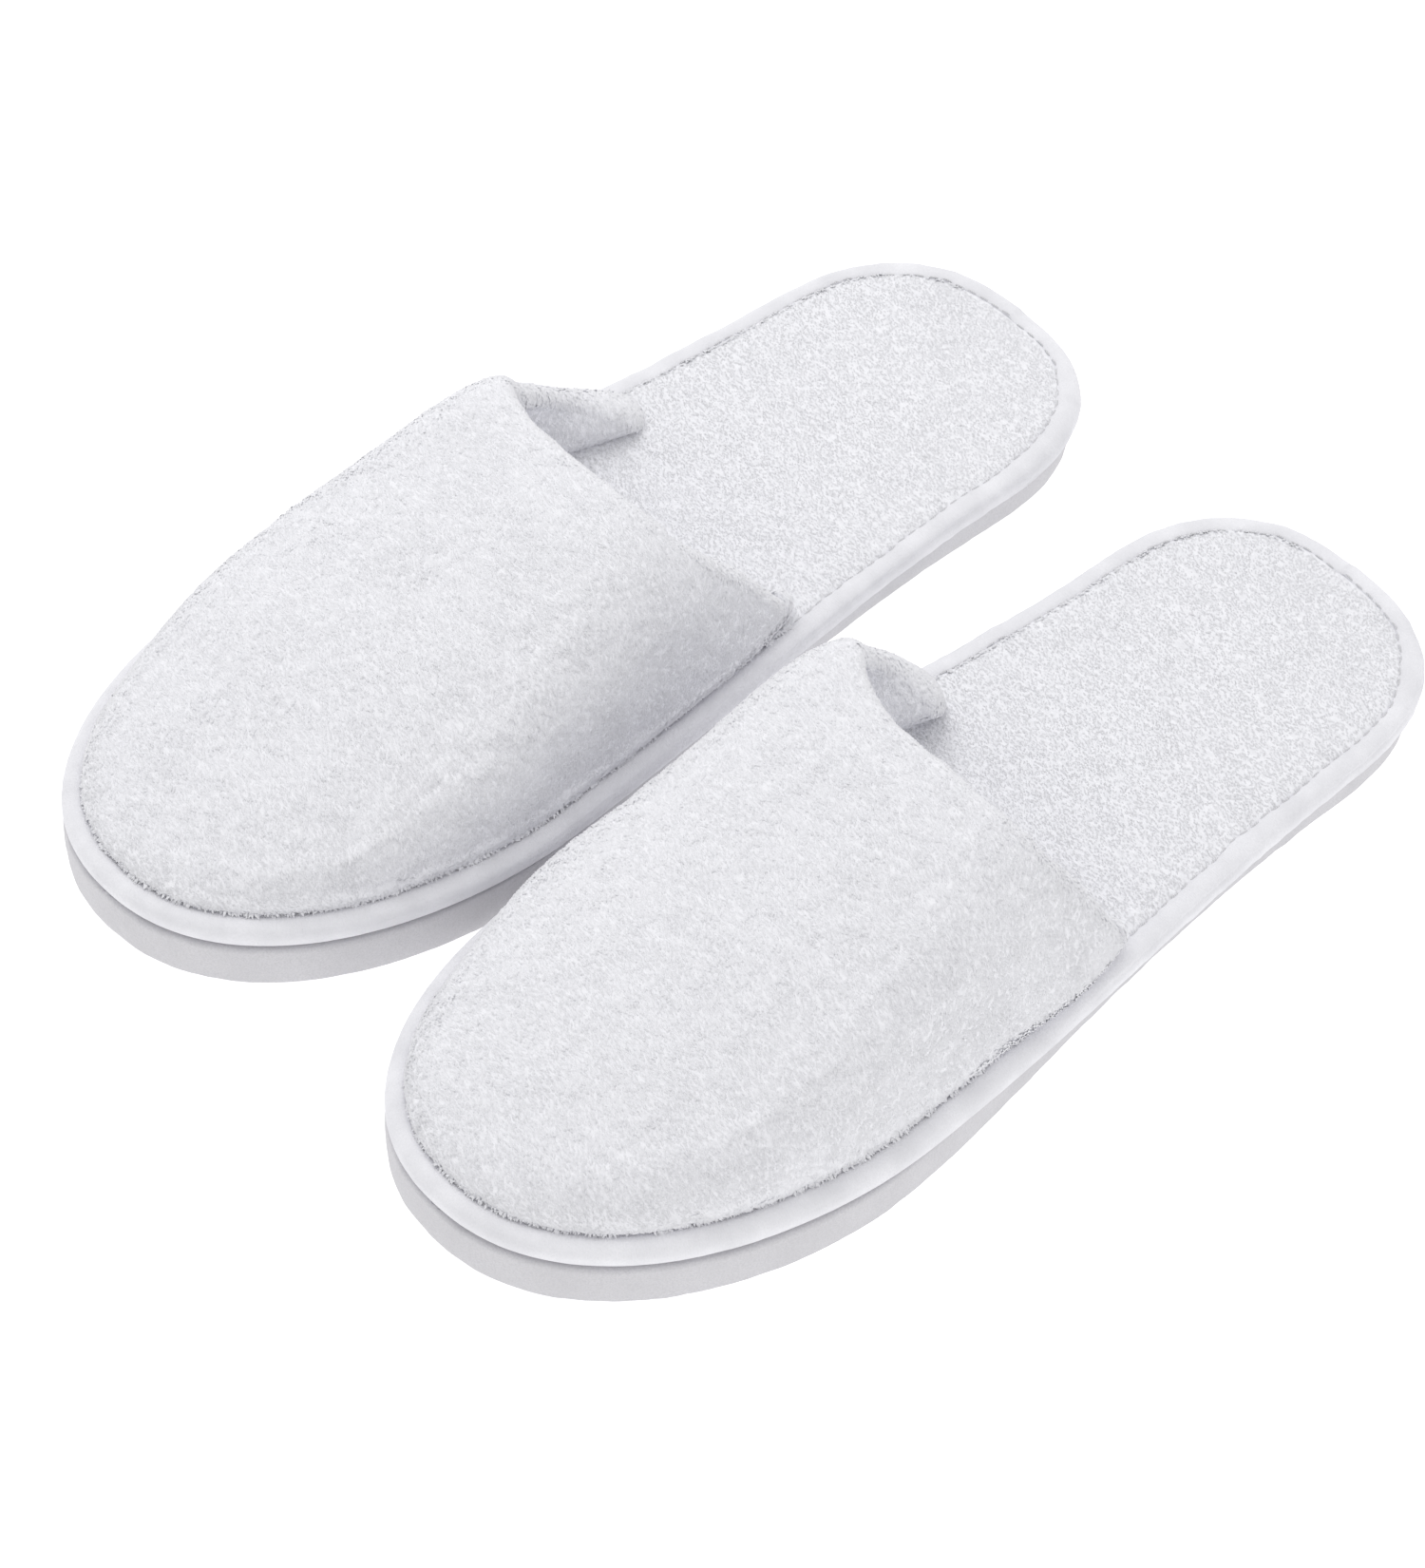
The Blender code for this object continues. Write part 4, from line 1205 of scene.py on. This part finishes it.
def make_vamp(slipper):
    seed = PILE_SEED + (101 if slipper == "left" else 100)
    across = arch_steps(OUTER_GRID[0])
    skin, normals, start, radius = vamp_skin(slipper, across, seed)
    faces = [grid_quads(*skin.shape[:2])]
    ground, tufts = cloth_finish("plush_cloth"), pile_finish("plush_pile")
    add_piece(slipper, "vamp_plush", skin, faces, ground, "plush", "vamp_outer")
    lay = np.array([SIDES[slipper], 0.25, -0.15])
    grow_pile(
        slipper, "vamp_pile", skin[:-1, 1:-1], normals[:-1, 1:-1], lay, tufts, seed + 10,
        density=2.7e6, length=1.40 * MM, width=0.60 * MM,
    )
    on_outer = np.where(np.arange(len(VAMP_LOOP)) < OUTLINE_ROWS, 1.0, -1.0)
    fringed = VAMP_LOOP[:, 1] > by_side(WING_END[slipper], on_outer) + 2.0 * WING_ROUNDING
    outward = OUTWARD[fringed]
    path = stand(VAMP_LOOP[fringed] + outward[:, :2] * FOOT_REACH, TAPE_TOP + 0.4 * MM)
    grow_fringe(slipper, "vamp_fringe", path, outward, tufts, seed + 20)

    places = arch_steps(INSIDE_GRID[0])
    starts = np.interp(places, across, start)
    radii = np.interp(places, across, radius)
    make_padding(slipper, places, starts, radii)
    make_lining(slipper, places, starts, radii, seed)
    make_hem_stitches(slipper, places, starts, radii)


def inside_sheets(slipper, across, start, radius, depths, margin):
    """Grids at shares of the vamp's thickness, starting margin ahead of the roll's centre line."""
    ahead = start + margin / ALONG_TO_METRES
    sheet, along = vamp_sheet(across, ahead, INSIDE_GRID, slipper)
    normals = outward_normals(sheet)
    grow = smoothstep((along - ahead[None, :]) / 0.5)
    thickness = 2.0 * radius[None, :] * (1.0 - grow) + VAMP_THICKNESS * grow
    return [sheet - normals * (thickness * depth)[..., None] for depth in depths]


def make_padding(slipper, across, start, radius):
    top, bottom = inside_sheets(slipper, across, start, radius, PADDING_DEPTHS, EDGE_WIDTH)
    points, faces = pad_between(top, bottom)
    finish = cushion_foam()
    add_piece(slipper, "vamp_padding", points, faces, finish, "cushion_foam", "vamp_foam", welded=True)


def make_lining(slipper, across, start, radius, seed):
    lining, = inside_sheets(slipper, across, start, radius, [LINING_DEPTH], LINING_MARGIN)
    lobe = wing_lobe(slipper, across, lining[0])
    forward = np.linalg.norm(lining - lining[:1], axis=-1) + LINING_MARGIN
    fade = 1.0 - smoothstep(forward / WING_LOBE_REACH)
    lining[..., 0] -= np.sign(across)[None, :] * lobe[None, :] * fade
    normals = -sheet_normals(lining)
    lining = lining + normals * cloth_relief(lining, seed + 5)[..., None]
    faces = [grid_quads(*lining.shape[:2])]
    # painted glow on the lining's cloth and pile, brightening the shaded hollows of the wings
    ground, tufts = cloth_finish("lining_cloth", LINING_PAINTED_GLOW), pile_finish("lining_pile", glow=LINING_PAINTED_GLOW)
    add_piece(slipper, "vamp_lining_plush", lining, faces, ground, "plush", "vamp_lining")
    lining, normals = lining[:LINING_PILE_ROWS], normals[:LINING_PILE_ROWS]
    grow_pile(
        slipper, "vamp_lining_pile", lining, normals, np.array([0.2, -1.0, -0.3]), tufts, seed + 11,
        density=1.6e6, length=1.4 * MM, width=0.85 * MM,
    )


def make_hem_stitches(slipper, across, start, radius):
    along = start + HEM_WIDTH / ALONG_TO_METRES * 0.9
    faces = np.stack([vamp_surface(across, along + step, slipper) for step in (0.0, 0.02)])
    depth = 2.0 * radius + 0.25 * EDGE_SOFTENING + 0.45 * MM
    path = faces[0] - sheet_normals(faces)[0] * depth[:, None]
    path = path[np.abs(np.arcsin(across)) < HEM_STITCH_SPAN]
    stitch_run(slipper, "throat_hem_stitches", path, 2.7 * MM, 0.9 * MM, 0.3 * MM, 0.0, "throat_hem_thread")


# ---- stage


FLOOR_HALF_WIDTH = 3.0
FLOOR_GREY = (0.50, 0.50, 0.50)
FLOOR_GLOW = 0.78  # keeps the floor pale right up to the soles
SKY_HORIZON = 0.84  # brightness of the studio's walls and ceiling
SKY_ZENITH = 0.87
# direction from the slippers, and power
LAMPS = {"key": ((-0.60, 0.25, 1.0), 8.0), "fill": ((1.0, 0.3, 0.45), 1.3)}
LAMP_DISTANCE = 1.6
LAMP_SIZE = 1.4
CAMERA_AZIMUTH = math.radians(47.3)
CAMERA_ELEVATION = math.radians(49.7)
CAMERA_ROLL = math.radians(1.22)
CAMERA_DISTANCE = 1.245
CAMERA_TARGET = Vector((-0.0024, -0.0088, 0.0))
CAMERA_LENS = 136.0
CAMERA_SENSOR = 36.0


def stand_away(name, data, away, distance, turn=Quaternion()):
    """A new object at a distance in a direction, looking back."""
    thing = bpy.data.objects.new(name, data)
    thing.location = away * distance
    thing.rotation_mode = "QUATERNION"
    thing.rotation_quaternion = (-away).to_track_quat("-Z", "Y") @ turn
    bpy.context.scene.collection.objects.link(thing)
    return thing


def make_floor():
    mesh = bpy.data.meshes.new("floor")
    signs = ((-1, -1), (1, -1), (1, 1), (-1, 1))
    corners = [(x * FLOOR_HALF_WIDTH, y * FLOOR_HALF_WIDTH, 0.0) for x, y in signs]
    mesh.from_pydata(corners, [], [(0, 1, 2, 3)])
    floor = bpy.data.objects.new("floor", mesh)
    bpy.context.scene.collection.objects.link(floor)
    paint = Nodes("floor_white", FLOOR_GREY, 0.9)
    mesh.materials.append(paint.finished((*FLOOR_GREY, 1.0), 0.9, gloss=0.0, glow=FLOOR_GLOW))


def make_lights():
    world = bpy.data.worlds.new("studio")
    world.use_nodes = True
    tree = world.node_tree
    sky = tree.nodes["Background"].inputs
    sky["Color"].default_value = (1.0, 1.0, 1.0, 1.0)
    direction = tree.nodes.new("ShaderNodeTexCoord")
    split = tree.nodes.new("ShaderNodeSeparateXYZ")
    height = tree.nodes.new("ShaderNodeMapRange")
    height.inputs["To Min"].default_value = SKY_HORIZON
    height.inputs["To Max"].default_value = SKY_ZENITH
    tree.links.new(direction.outputs["Generated"], split.inputs["Vector"])
    tree.links.new(split.outputs["Z"], height.inputs["Value"])
    tree.links.new(height.outputs["Result"], sky["Strength"])
    scene = bpy.context.scene
    scene.world = world
    for name, (away, power) in LAMPS.items():
        light = bpy.data.lights.new(name, "AREA")
        light.shape = "DISK"
        light.size = LAMP_SIZE
        light.energy = power
        stand_away(name, light, Vector(away).normalized(), LAMP_DISTANCE)
    scene.cycles.diffuse_bounces = 8
    scene.view_settings.view_transform = "Standard"
    scene.view_settings.look = "None"


def make_camera():
    data = bpy.data.cameras.new("camera")
    data.sensor_fit = "HORIZONTAL"
    data.sensor_width = CAMERA_SENSOR
    data.lens = CAMERA_LENS
    away = Vector((math.sin(CAMERA_AZIMUTH), -math.cos(CAMERA_AZIMUTH), math.tan(CAMERA_ELEVATION)))
    away.normalize()
    roll = Quaternion((0.0, 0.0, 1.0), CAMERA_ROLL)
    camera = stand_away("camera", data, away, CAMERA_DISTANCE, roll)
    camera.location += CAMERA_TARGET
    bpy.context.scene.camera = camera


# ---- assembly


for slipper in SIDES:
    make_sole(slipper)
    make_core_layer(slipper, "insole_board", BOARD, fibre_board(), "fibre_board")
    make_core_layer(slipper, "insole_foam", FOAM, cushion_foam(), "cushion_foam")
    binding_sheet = make_binding(slipper)
    make_binding_stitches(slipper, binding_sheet)
    make_footbed(slipper)
    make_vamp(slipper)

make_floor()
make_lights()
make_camera()
